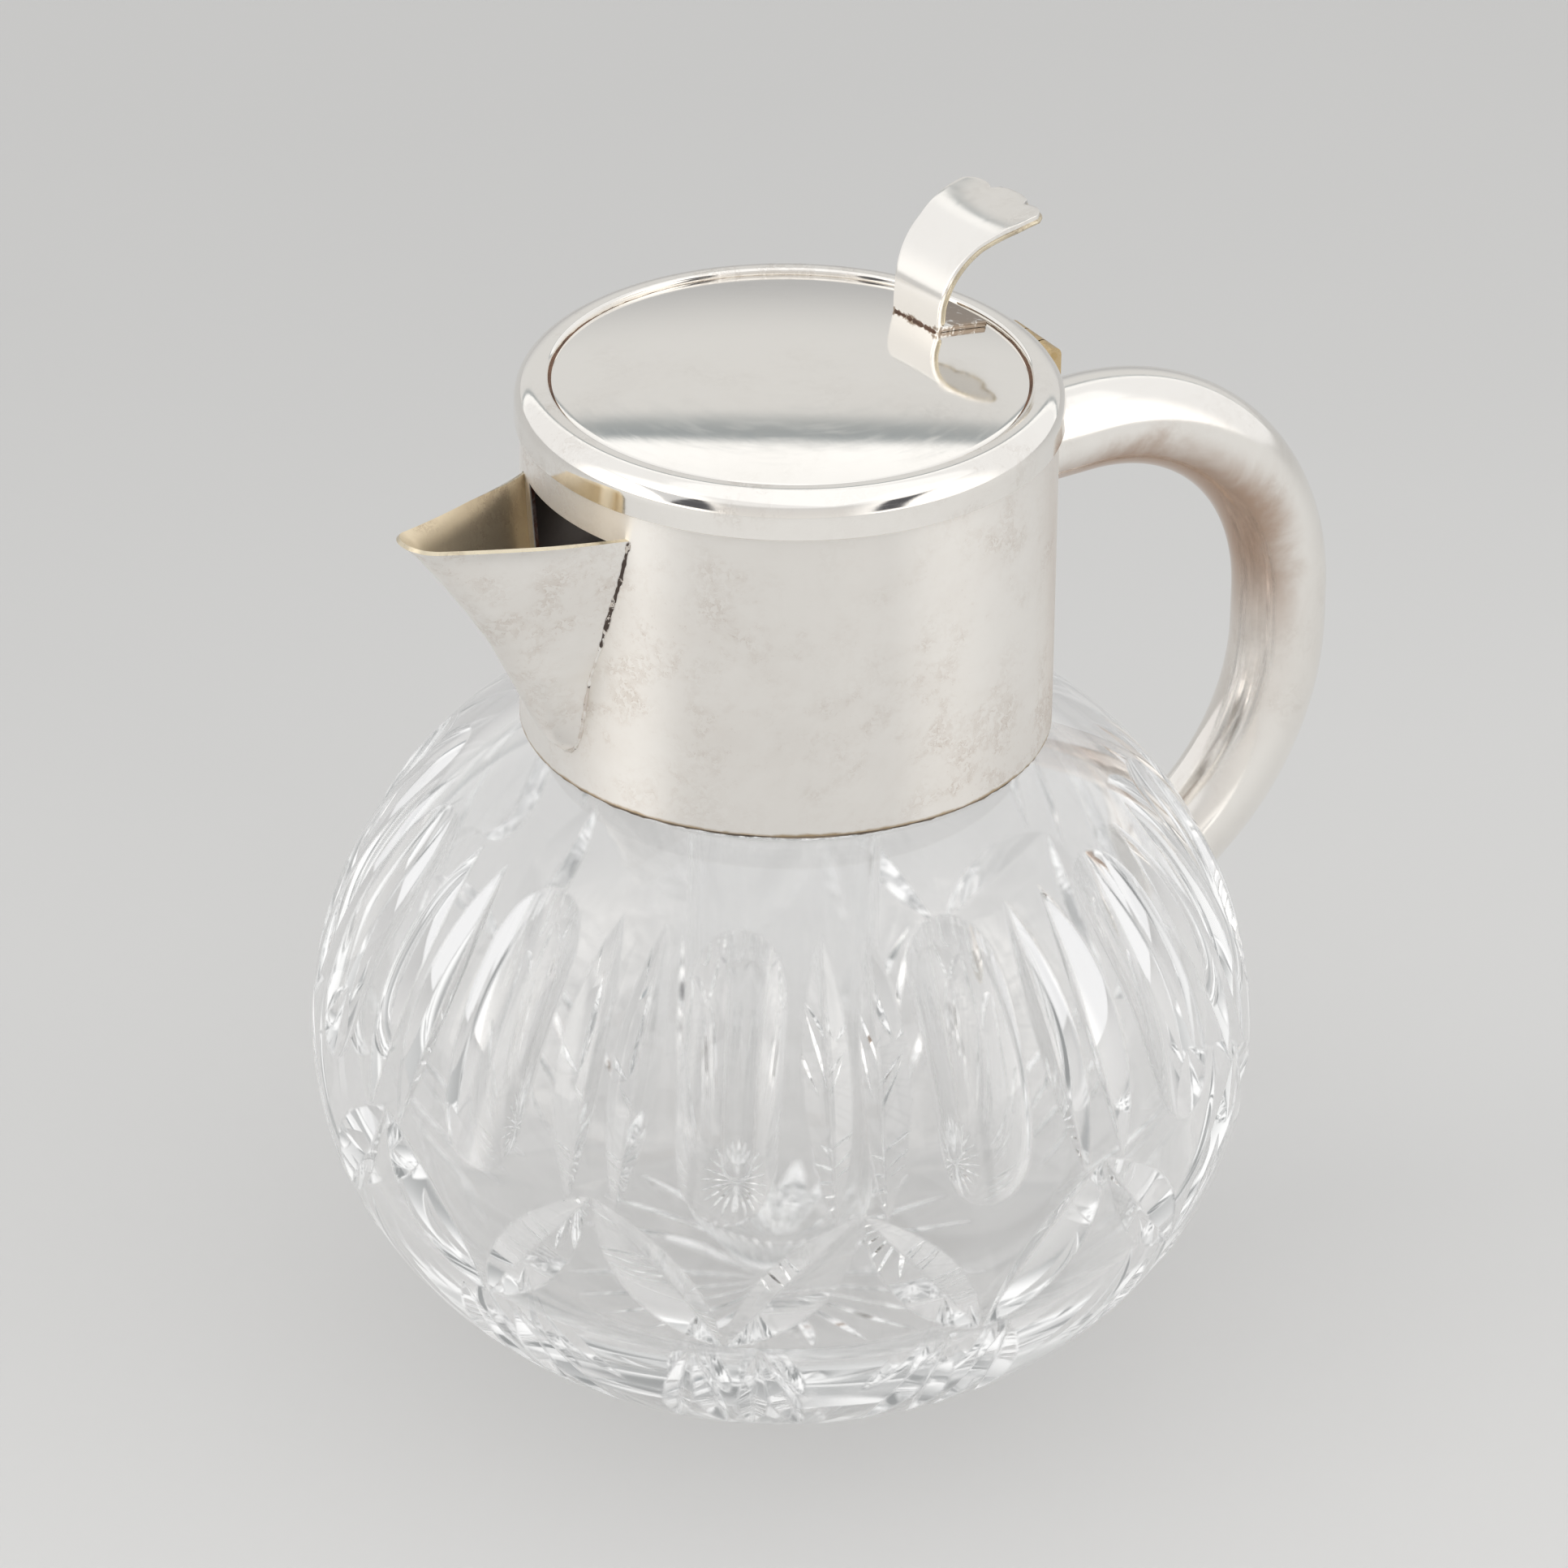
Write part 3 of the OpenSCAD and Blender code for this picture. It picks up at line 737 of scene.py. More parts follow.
def olive_cut(wheel, path, depth, radius, steps=30, arc_steps=22, head=3.0 * MM):
    """A long oval cut with a round-nosed wheel."""
    over, nose_from, nose_span = 1.03, -86, 172
    stops = [-over + 2 * over * k / steps for k in range(steps + 1)]

    def profile(k):
        low = -depth * (1 - abs(stops[k]) ** 4.0)
        out = []
        for i in range(arc_steps + 1):
            a = math.radians(nose_from + nose_span * i / arc_steps)
            out.append((radius * math.sin(a), low + radius * (1 - math.cos(a)), 1))
        out[-1] = (out[-1][0], out[-1][1], 0)
        top = max(head, out[-1][1] + 1 * MM)
        return out + [(radius, top, 0), (-radius, top, 0)]

    wheel.sweep(surface_frames([path(s) for s in stops]), profile)


def between(turn_a, z_a, turn_b, z_b):
    """A path on the globe from one (turn, height) to another, in degrees and metres."""
    la, lb = lift_at(z_a), lift_at(z_b)

    def path(s):
        t = (s + 1) / 2
        return globe_point(math.radians(turn_a + (turn_b - turn_a) * t), la + (lb - la) * t)

    return path


def base_path(turn, r_in, r_out):
    def path(s):
        radius = r_in + (r_out - r_in) * (s + 1) / 2
        return Vector((radius * math.cos(turn), radius * math.sin(turn), 0.0)), Vector((0, 0, -1))

    return path


def cut_pattern(sizes):
    """The wheel cuts of the globe, in groups whose cuts don't touch each other."""
    count = sizes.repeats
    pitch = 360.0 / count
    mid = pitch / 2
    first = sizes.pattern_turn
    top, belt, valley = sizes.cut_top, sizes.cut_belt, sizes.cut_valley
    wheels = []

    def cuts(make):
        wheel = Wheel(1 + 3 * len(wheels))
        for k in range(count):
            make(wheel, first + pitch * k)
        wheels.append(wheel)

    def tall_oval(wheel, a):
        path = between(a, belt - 0.5 * MM, a, top + 0.3 * MM)
        olive_cut(wheel, path, sizes.olive_depth, sizes.olive_nose)

    def tall_mitre(wheel, a):
        path = between(a + mid + side * 3.05, belt - 0.4 * MM, a + mid + side * 3.75, top)
        left, right = (1.75, 1.3) if side > 0 else (1.3, 1.75)
        mitre_cut(wheel, path, 3.1 * MM, left, right, 26)

    def belt_leaf(wheel, a):
        path = between(a + side * 0.35, valley, a + side * (mid - 0.2), belt + 1.2 * MM)
        mitre_cut(wheel, path, 3.7 * MM, 1.85, 1.85, 24)

    def fan(wheel, a):
        path = between(a + side * offset, 9.0 * MM, a + side * 4.2, valley - 0.5 * MM)
        mitre_cut(wheel, path, 2.2 * MM, 1.3, 1.3, 18)

    cuts(tall_oval)
    for side in (-1, 1):
        cuts(tall_mitre)
    for side in (-1, 1):
        cuts(belt_leaf)
    for side in (-1, 1):
        for offset in (2.2, 11.0):
            cuts(fan)
    rays = sizes.star_rays
    for parity in (0, 1):
        wheel = Wheel(1 + 3 * len(wheels))
        for k in range(parity, rays, 2):
            turn = math.radians(first + 360.0 * k / rays)
            mitre_cut(wheel, base_path(turn, 1.0 * MM, 43.0 * MM), 2.4 * MM, 1.3, 1.3, 18, 3.0 * MM)
        wheels.append(wheel)
    return wheels


def crease_between_marks(obj, degrees):
    """Keeps an edge sharp between differently marked faces or over an angle, then clears the marks."""
    bm = bmesh.new()
    bm.from_mesh(obj.data)
    bmesh.ops.remove_doubles(bm, verts=bm.verts, dist=WELD)
    bmesh.ops.dissolve_degenerate(bm, edges=bm.edges, dist=WELD)
    limit = math.radians(degrees)
    for edge in bm.edges:
        if len(edge.link_faces) == 2:
            one, two = edge.link_faces
            edge.smooth = one.material_index == two.material_index and edge.calc_face_angle(0.0) < limit
    for face in bm.faces:
        face.smooth = True
        face.material_index = 0
    bm.to_mesh(obj.data)
    bm.free()


def crystal_globe(sizes):
    neck_r = node_high("neck_cement").y - sizes.cement_t
    neck_bore = neck_r - sizes.neck_wall
    chamfer = 0.8 * MM
    rim = [(neck_r, NECK_TOP - chamfer), (neck_r - chamfer, NECK_TOP), (0.0, NECK_TOP)]
    globe = outward(lathe("crystal_globe", [(0.0, 0.0)] + globe_outline(neck_r) + rim, 360))
    wheels = cut_pattern(sizes)
    marks = [bpy.data.materials.new(f"cut face {i}") for i in range(3 * len(wheels) + 2)]
    for mark in marks:
        globe.data.materials.append(mark)
    for wheel in wheels:
        carve(globe, wheel.cutter(marks))
    mouth = [(neck_bore, NECK_TOP + 2 * MM), (0.0, NECK_TOP + 2 * MM)]
    hollow = outward(lathe("hollow", cavity_outline(sizes.wall, neck_bore) + mouth, 180))
    for mark in marks:
        hollow.data.materials.append(mark)
    hollow.data.polygons.foreach_set("material_index", [len(marks) - 1] * len(hollow.data.polygons))
    carve(globe, hollow)
    crease_between_marks(globe, 32)
    finish_piece(globe, "jug", finish_of("cut crystal"), "cut_glass", "glass_globe")
    for mark in marks:
        bpy.data.materials.remove(mark)


# ---------------------------------------------------------------- other pieces


def ice_insert(sizes):
    r, wall, corner = sizes.insert_r, sizes.insert_wall, 8.0 * MM
    low, flange_z = INSERT_LOW, INSERT_TOP - 7.0 * MM
    lip_r = 1.5 * MM
    out = [(0.0, low)] + arc(r - corner, low + corner, corner, -90, 0, 10)
    out += [(r, flange_z - 1.5 * MM), (r + 0.5 * MM, flange_z - 0.3 * MM), (r + 1.2 * MM, flange_z)]
    out += arc(FLANGE_R - lip_r, flange_z + lip_r, lip_r, -90, 90, 10)
    out += [(r + 1.5 * MM, flange_z + 3 * MM), (r + 0.3 * MM, flange_z + 3.8 * MM)]
    out += arc(r - wall / 2, INSERT_TOP - wall / 2, wall / 2, 0, 180, 10)
    inner, small, floor_z = r - wall, corner - wall, low + wall + 0.6 * MM
    out += arc(inner - small, floor_z + small, small, 0, -90, 10)
    out += [(0.0, floor_z)]
    piece = outward(lathe("ice_tube", out, 128))
    crease_by_angle(piece, 50)
    finish_piece(piece, "insert", finish_of("insert glass"), "insert_glass", "ice_insert")


# The spout above its foot, in mm: height, half width along the near seam, reach from the collar
SPOUT_SHAPE = (
    (0.0, 0.3, 0.0), (1.2, 2.4, 1.6), (3.0, 3.9, 3.6), (6.0, 4.9, 5.6),
    (10.3, 5.7, 7.9), (18.0, 7.2, 11.7), (26.5, 10.2, 16.1), (34.0, 12.3, 21.0),
    (41.0, 14.5, 26.0), (46.5, 15.7, 30.2), (50.0, 16.5, 33.0), (53.2, 16.9, 36.0),
)


def spout_section(height, rows, widen):
    """A level section of the spout: far side, round the fold, near side. widen sets the far seam out."""
    table = np.array(SPOUT_SHAPE) * MM
    width = float(np.interp(height, table[:, 0], table[:, 1]))
    reach = float(np.interp(height, table[:, 0], table[:, 2]))
    fold = min(5.8 * MM, 0.75 * width, 0.5 * reach + 0.1 * MM)
    cx = -COLLAR_R - reach + fold
    sides = []
    for w in (width * widen, width):
        px = -math.sqrt(COLLAR_R ** 2 - w ** 2)
        a = px - cx
        turn = math.atan2(w, a) - math.asin(min(0.99, fold / math.hypot(a, w)))
        sides.append((px, w, turn, cx - fold * math.sin(turn), fold * math.cos(turn)))
    (fx, fw, far_turn, ftx, fty), (nx, nw, near_turn, ntx, nty) = sides
    points = [Vector((fx, fw)).lerp(Vector((ftx, fty)), i / rows) for i in range(rows)]
    start, end = math.pi / 2 + far_turn, 1.5 * math.pi - near_turn
    for i in range(2 * rows + 1):
        b = start + (end - start) * i / (2 * rows)
        points.append(Vector((cx + fold * math.cos(b), fold * math.sin(b))))
    points += [Vector((ntx, -nty)).lerp(Vector((nx, -nw)), i / rows) for i in range(1, rows + 1)]
    return points


def spout(sizes):
    rows, rings = 12, 60
    width = 4 * rows + 1
    corner = SPOUT_TIP_Z - 3.9 * MM - SPOUT_LOW
    lip_curl, lip_share = 0.8 * MM, 0.93

    def lip_height(p):
        out = max(0.0, (-47 * MM - p.x) / (38 * MM))
        return corner + 3.6 * MM * out ** 1.5 - 0.05 * p.y

    verts = []
    for k in range(rings + 1):
        u = k / rings
        for i in range(width):
            height = corner * u
            # The section and the height under the lip depend on each other, and settle in a few turns
            for _ in range(6):
                p = spout_section(height, rows, sizes.spout_widen)[i]
                height = lip_height(p) * u
            outer = max(0.0, min(1.0, (-50 * MM - p.x) / (12 * MM)))
            flare = lip_curl * max(0.0, (u - lip_share) / (1 - lip_share)) ** 2 * outer
            side = math.copysign(min(1.0, abs(p.y) / (4 * MM)), p.y)
            verts.append((p.x - flare * 0.5, p.y + side * flare, SPOUT_LOW + height))
    turn = Matrix.Rotation(math.radians(SPOUT_TURN), 4, "Z")
    verts = [turn @ Vector(v) for v in verts]
    piece = mesh_object("spout_sheet", verts, grid_faces(rings, width))
    fold = piece.data.polygons[len(piece.data.polygons) // 2 + width // 2 - 1]
    if fold.normal.x > 0:
        piece.data.flip_normals()
    shell = sheet(piece, sizes.spout_wall)
    shell.material_offset = 1
    shell.material_offset_rim = 2
    for _ in range(3):
        piece.data.materials.append(None)
    bake_modifiers(piece)
    crease_by_angle(piece, 40)
    inside = (finish_of("spout inside"), finish_of("lip metal"))
    finish_piece(piece, "jug", finish_of("spout plate"), "spout_silver", "spout_body", more=inside)
    far_seam = [verts[k * width] for k in range(rings, -1, -1)]
    near_seam = [verts[k * width + width - 1] for k in range(1, rings + 1)]
    seam = tube_along("spout_solder", far_seam + near_seam, 0.4 * MM, rough=0.35)
    finish_piece(seam, "jug", finish_of("solder"), "spout_silver")


def tube_along(name, points, radius, rough=0.0, closed=False, sides=8):
    """A round bead along points. rough makes it lumpy."""
    rng = np.random.default_rng(len(points))
    verts, faces = [], []
    n = len(points)
    for k, point in enumerate(points):
        before = points[k - 1] if (closed or k > 0) else point
        after = points[(k + 1) % n] if (closed or k < n - 1) else point
        ahead = (after - before).normalized()
        side = ahead.cross(Vector((0, 0, 1)))
        side = side.normalized() if side.length > 1e-6 else Vector((1, 0, 0))
        up = side.cross(ahead).normalized()
        r = radius * (1 + rough * float(rng.uniform(-1, 1)))
        end = 0.55 if not closed and k in (0, n - 1) else 1.0
        for i in range(sides):
            a = 2 * math.pi * i / sides
            verts.append(point + (side * math.cos(a) + up * math.sin(a)) * r * end)
    for k in range(n if closed else n - 1):
        faces += ring_faces(k * sides, (k + 1) % n * sides, sides)
    if not closed:
        faces.append(tuple(range(sides)))
        faces.append(tuple((n - 1) * sides + i for i in reversed(range(sides))))
    return outward(mesh_object(name, verts, faces))


def ring_points(radius, z, count, wobble=0.0, seed=1):
    jitter = np.random.default_rng(seed).uniform(-wobble, wobble, count)
    points = []
    for i in range(count):
        a = 2 * math.pi * i / count
        points.append(Vector(((radius + jitter[i]) * math.cos(a), (radius + jitter[i]) * math.sin(a), z)))
    return points


def collar(sizes):
    dress_node("collar_band", finish_of("collar plate"))
    dress_node("neck_cement", finish_of("neck cement"))
    dress_node("insert_seat", finish_of("seat plate"))
    ring = ring_points(COLLAR_R - 0.75 * MM, COLLAR_LOW - 0.25 * MM, 240, 0.12 * MM)
    bead = tube_along("cement_bead", ring, 0.5 * MM, rough=0.2, closed=True)
    finish_piece(bead, "jug", finish_of("neck cement"), "cement")


def cap_points(sphere_r, centre_z, edge, steps):
    """Points of a spherical cap, from its pole to the radius edge."""
    tilts = [math.asin(edge / sphere_r) * i / steps for i in range(steps + 1)]
    return [(sphere_r * math.sin(tilt), centre_z + sphere_r * math.cos(tilt)) for tilt in tilts]


def lid_ring(groove_r, ledge_z):
    skirt_in = LID_R - 0.8 * MM
    under = COLLAR_TOP + 0.1 * MM
    ledge_r = groove_r - 2.6 * MM
    locator = COLLAR_R - COLLAR_WALL - 0.8 * MM
    locator_in, locator_low = locator - 1 * MM, under - 3 * MM
    edge, shoulder, inner_shoulder = 0.25 * MM, 5 * MM, 0.75 * MM
    out = [(skirt_in, LID_LOW + edge), (skirt_in + 0.3 * MM, LID_LOW)]
    out += [(LID_R - edge, LID_LOW), (LID_R, LID_LOW + edge)]
    out += arc(LID_R - shoulder, LID_TOP - shoulder, shoulder, 0, 90, 28)
    out += arc(groove_r + 0.9 * MM, LID_TOP - inner_shoulder, inner_shoulder, 90, 170, 8)
    out += [(groove_r, LID_TOP - 1.4 * MM), (groove_r, ledge_z), (ledge_r, ledge_z), (ledge_r, under)]
    out += [(locator_in, under), (locator_in, locator_low), (locator, locator_low)]
    out += [(locator, under), (skirt_in, under)]
    rim = outward(lathe("lid_ring", out, 256, close=True))
    crease_by_angle(rim, 34)
    finish_piece(rim, "lid", finish_of("lid plate"), "lid_silver", "lid_rim")


def lid_disc(ledge_z):
    wall = 0.9 * MM
    height = DOME_TOP - (LID_TOP - 1 * MM)
    sphere_r = (DOME_R ** 2 + height ** 2) / (2 * height)
    centre_z = DOME_TOP - sphere_r
    low = ledge_z + 0.02 * MM
    out = cap_points(sphere_r, centre_z, DOME_R - 0.5 * MM, 60)
    edge_z = out[-1][1]
    out += [(DOME_R - 0.15 * MM, edge_z - 0.15 * MM), (DOME_R, edge_z - 0.5 * MM)]
    out += [(DOME_R, low), (DOME_R - wall, low)]
    out += reversed(cap_points(sphere_r - wall, centre_z, DOME_R - wall, 40))
    dome = outward(lathe("lid_disc", out, 256))
    crease_by_angle(dome, 40)
    finish_piece(dome, "lid", finish_of("dome plate"), "dome_silver", "lid_dome")


def lid(sizes):
    ledge_z = LID_TOP - 2.2 * MM
    lid_ring(DOME_R + 0.3 * MM, ledge_z)
    lid_disc(ledge_z)
    ring = ring_points(DOME_R + 0.15 * MM, LID_TOP - 1.75 * MM, 240, 0.05 * MM, 3)
    groove = tube_along("lid_groove", ring, 0.42 * MM, rough=0.3, closed=True)
    finish_piece(groove, "lid", finish_of("groove stain"), "lid_silver")


# Where the thumb piece's strip bends up, and how high the dome stands over its edge
THUMB_X = 31.7 * MM
DOME_RISE = 5.1 * MM
# The strip's half width in mm at shares of its length
THUMB_WIDTHS = (
    (0.0, 6.4), (0.15, 6.5), (0.3, 7.2), (0.45, 7.9), (0.6, 8.6),
    (0.72, 9.7), (0.82, 10.6), (0.92, 10.9), (1.0, 10.7),
)


def dome_z(x, y):
    sphere_r = (DOME_R ** 2 + DOME_RISE * DOME_RISE) / (2 * DOME_RISE)
    return DOME_TOP - sphere_r + math.sqrt(sphere_r ** 2 - x * x - y * y)


def thumb_curve(t):
    """The strip's middle line in the (x, z) plane, a Bezier curve from its foot to its tip."""
    reach, low, tip = 22.8 * MM, DOME_TOP - 2.7 * MM, DOME_TOP + 15.8 * MM
    foot = Vector((THUMB_X, low))
    rise = Vector((THUMB_X - 0.7 * MM, low + (tip - low) * 0.66))
    crown = Vector((THUMB_X + reach * 0.254, tip + 0.7 * MM))
    end = Vector((THUMB_X + reach, tip))
    return foot * (1 - t) ** 3 + rise * 3 * t * (1 - t) ** 2 + crown * 3 * t * t * (1 - t) + end * t ** 3


def thumb_length(v):
    """How far the strip runs at a place across it: three shallow lobes with rounded outer corners."""
    centre = math.sqrt(max(0.0, 1 - (abs(v) / 0.62) ** 2)) if abs(v) < 0.42 else 0.0
    side = math.sqrt(max(0.0, 1 - ((abs(v) - 0.66) / 0.36) ** 2))
    return 0.90 + max(0.115 * centre, 0.075 * side)


def thumb_point(v, along):
    """A point of the strip, v from -1 to 1 across it and along from 0 to 1."""
    t = thumb_length(v) * along
    p = thumb_curve(t)
    ahead = (thumb_curve(min(1, t + 0.01)) - thumb_curve(max(0, t - 0.01))).normalized()
    curl = 0.9 * MM * max(0.0, (t - 0.6) / 0.4) ** 2 * abs(v) ** 2
    y = v * float(np.interp(t, *zip(*THUMB_WIDTHS))) * MM
    lift = (1 - t / 0.05) * (dome_z(p.x, y) - p.y + 0.2 * MM) if t < 0.05 else 0.0
    return Vector((p.x - ahead.y * curl, y, p.y + ahead.x * curl + lift))


def thumb_piece(sizes):
    turn = Matrix.Rotation(math.radians(THUMB_TURN), 4, "Z")

    def finish(obj, finish_name, *nodes):
        obj.data.transform(turn)
        finish_piece(obj, "lid", finish_of(finish_name), "thumb_silver", *nodes)

    along, across = 60, 28
    places = [-1 + 2 * i / across for i in range(across + 1)]
    rows = [[thumb_point(v, k / along) for v in places] for k in range(along + 1)]
    strip = mesh_object("thumb_strip", sum(rows, []), grid_faces(along, across + 1))
    sheet(strip, 1.3 * MM, 0.3 * MM)
    bake_modifiers(strip)
    crease_by_angle(outward(strip), 50)
    finish(strip, "thumb plate", "thumb_lever")

    border = [rows[k][0] for k in range(3, along)] + rows[along]
    border += [rows[k][across] for k in range(along - 1, 2, -1)]
    finish(tube_along("thumb_edge", border, 0.42 * MM), "lip metal")
    stops = np.linspace(-6.3 * MM, 6.3 * MM, 24)
    weld = [Vector((THUMB_X - 1.0 * MM, y, dome_z(THUMB_X, y) + 0.35 * MM)) for y in stops]
    finish(tube_along("thumb_solder", weld, 0.45 * MM, rough=0.3), "groove stain")

    cells, length, half_width = 16, 11.5 * MM, 6.45 * MM
    verts = []
    for i in range(cells + 1):
        for j in range(cells + 1):
            x = THUMB_X - 0.4 * MM + length * i / cells
            y = (-1 + 2 * j / cells) * half_width
            verts.append((x, y, dome_z(x, y) + 1.25 * MM))
    foot = mesh_object("thumb_foot", verts, [(a, d, c, b) for a, b, c, d in grid_faces(cells, cells + 1)])
    sheet(foot, 1.22 * MM, 0.25 * MM)
    bake_modifiers(foot)
    crease_by_angle(outward(foot), 50)
    finish(foot, "thumb plate")


def handle_path(root_z):
    """The handle's middle line as (x, z, heading in degrees): out, over, down and in to the glass."""
    bend_x = COLLAR_R + 15.5 * MM
    bend, straight, low_bend, low_turn = 48.0 * MM, 7.0 * MM, 50.0 * MM, 50.0
    low_x, low_z = bend_x + bend - low_bend, root_z - bend - straight
    start_x = COLLAR_R - 3 * MM
    path = [(start_x + (bend_x - start_x) * i / 13, root_z, 0.0) for i in range(13)]
    for i in range(49):
        a = math.radians(90.0 * i / 48)
        path.append((bend_x + bend * math.sin(a), root_z - bend + bend * math.cos(a), -90.0 * i / 48))
    path += [(bend_x + bend, root_z - bend - straight * i / 8, -90.0) for i in range(1, 8)]
    for i in range(31):
        a = math.radians(low_turn * i / 30)
        heading = -90.0 - low_turn * i / 30
        path.append((low_x + low_bend * math.cos(a), low_z - low_bend * math.sin(a), heading))
    x, z, heading = path[-1]
    a = math.radians(low_turn)
    runs = [22 * MM * i / 6 for i in range(1, 7)]
    return path + [(x - run * math.sin(a), z - run * math.cos(a), heading) for run in runs]


def handle(sizes):
    root_z = COLLAR_TOP - 22.0 * MM
    top_r, end_r = 9.3 * MM, 9.1 * MM
    taper_from, taper_to = 55 * MM, 150 * MM
    sides = 96
    path = handle_path(root_z)
    lengths = [0.0]
    for a, b in zip(path, path[1:]):
        lengths.append(lengths[-1] + math.hypot(b[0] - a[0], b[1] - a[1]))

    def tube(name, shrink):
        verts, faces = [], []
        for (x, z, heading), run in zip(path, lengths):
            mix = min(1.0, max(0.0, (run - taper_from) / (taper_to - taper_from)))
            r = top_r + (end_r - top_r) * mix - shrink
            h = math.radians(heading)
            for k in range(sides):
                b = 2 * math.pi * k / sides
                across, up = r * math.sin(b), r * math.cos(b)
                verts.append((x - up * math.sin(h), across, z + up * math.cos(h)))
        last = (len(path) - 1) * sides
        for low in range(0, last, sides):
            faces += ring_faces(low, low + sides, sides)
        faces.append(tuple(range(sides)))
        faces.append(tuple(last + i for i in reversed(range(sides))))
        return outward(mesh_object(name, verts, faces))

    piece = tube("handle_bow", 0.0)
    carve(piece, tube("bore", 1.2 * MM))
    low, high = COLLAR_LOW - 10 * MM, COLLAR_TOP + 10 * MM
    band = [(0, low), (COLLAR_R, low), (COLLAR_R, high), (0, high)]
    carve(piece, outward(lathe("band", band, 256)))
    gap = 0.4 * MM
    heights = [i * 1.5 * MM for i in range(86)]
    belly = [(0.0, -gap)] + [(globe_radius(z, gap), z) for z in heights] + [(0.0, 128 * MM)]
    carve(piece, outward(lathe("belly", belly, 360)))
    crease_by_angle(piece, 40)
    finish_piece(piece, "jug", finish_of("handle plate"), "handle_silver", "handle_tube")
    dress_node("handle_cap", finish_of("cap plate"))
    root = []
    bead_r = top_r + 0.1 * MM
    for i in range(72):
        a = 2 * math.pi * i / 72
        y, z = bead_r * math.cos(a), root_z + bead_r * math.sin(a)
        root.append(Vector((math.sqrt(COLLAR_R ** 2 - y * y) + 0.1 * MM, y, z)))
    bead = tube_along("handle_solder", root, 0.5 * MM, rough=0.2, closed=True)
    finish_piece(bead, "jug", finish_of("solder"), "handle_silver")


def hinge(sizes):
    dress_node("lid_hinge_leaf", finish_of("hinge brass"))
    dress_node("collar_hinge_leaf", finish_of("hinge brass"))
    dress_node("hinge_pin", finish_of("pin brass"))


# ---------------------------------------------------------------- stage


def grey(value):
    return (value, value, value)


def colour_ramp(n, value, stops):
    """Blends smoothly through the colours of (position, colour) stops."""
    node = n.add("ShaderNodeValToRGB")
    node.color_ramp.interpolation = "EASE"
    elements = node.color_ramp.elements
    while len(elements) > 1:
        elements.remove(elements[-1])
    elements[0].position, elements[0].color = stops[0][0], stops[0][1] + (1.0,)
    for position, colour in stops[1:]:
        elements.new(position).color = colour + (1.0,)
    n.link(value, node.inputs["Fac"])
    return node.outputs["Color"]


def studio_walls(strength):
    """White walls and ceiling, a window wall at the viewer's side, and two dark doorways."""
    world = bpy.data.worlds.new("studio")
    bpy.context.scene.world = world
    world.use_nodes = True
    world.node_tree.nodes.clear()
    n = Nodes(world.node_tree)
    out = n.add("ShaderNodeOutputWorld")
    back = n.add("ShaderNodeBackground")
    n.link(back.outputs["Background"], out.inputs["Surface"])
    axes = n.split(n.add("ShaderNodeTexCoord").outputs["Generated"])

    def along(x, y):
        return n.math("ADD", n.math("MULTIPLY", axes["X"], x), n.math("MULTIPLY", axes["Y"], y))

    def near_to(value, middle, inner, outer):
        return n.ramp(n.math("ABSOLUTE", n.math("SUBTRACT", value, middle)), inner, outer, 1.0, 0.0)

    across, beyond = along(0.839, -0.545), along(0.545, 0.839)
    arch = n.math("ADD", axes["Z"], n.math("MULTIPLY", n.math("POWER", across, 2.0), 1.66))
    wall, roof = (0.90, 0.895, 0.88), grey(1.14)
    far = colour_ramp(n, arch, [
        (0.0, grey(0.6)), (0.4, wall), (0.62, wall), (0.672, (0.46, 0.49, 0.50)),
        (0.698, (0.36, 0.40, 0.42)), (0.714, (1.38, 1.38, 1.37)), (0.80, (1.28, 1.28, 1.27)),
        (0.86, roof), (1.0, roof),
    ])
    near = colour_ramp(n, axes["Z"], [
        (0.0, (0.96, 0.94, 0.91)), (0.4, (0.90, 0.88, 0.86)), (0.6, (0.86, 0.85, 0.84)),
        (0.72, roof), (1.0, roof),
    ])
    doors = n.math("MAXIMUM", near_to(across, -0.63, 0.12, 0.18), near_to(across, 0.64, 0.06, 0.11))
    doors = n.math("MULTIPLY", doors, near_to(axes["Z"], 0.36, 0.24, 0.32))
    windows = n.mix(n.ramp(across, -0.1, 0.1), (2.25, 2.19, 2.1), (1.7, 1.67, 1.63))
    side = n.ramp(n.math("ABSOLUTE", across), 0.35, 0.65)
    front = n.mix(doors, n.mix(side, near, windows), (0.12, 0.12, 0.13))
    n.link(n.mix(n.ramp(beyond, -0.2, 0.15), front, far), back.inputs["Color"])
    back.inputs["Strength"].default_value = strength


def softbox(name, place, aim, width, height, power):
    data = bpy.data.lights.new(name, "AREA")
    data.shape = "RECTANGLE"
    data.size, data.size_y, data.energy = width, height, power
    obj = link(bpy.data.objects.new(name, data))
    obj.location = place
    obj.rotation_euler = (Vector(aim) - Vector(place)).to_track_quat("-Z", "Y").to_euler()
    obj.visible_camera = False


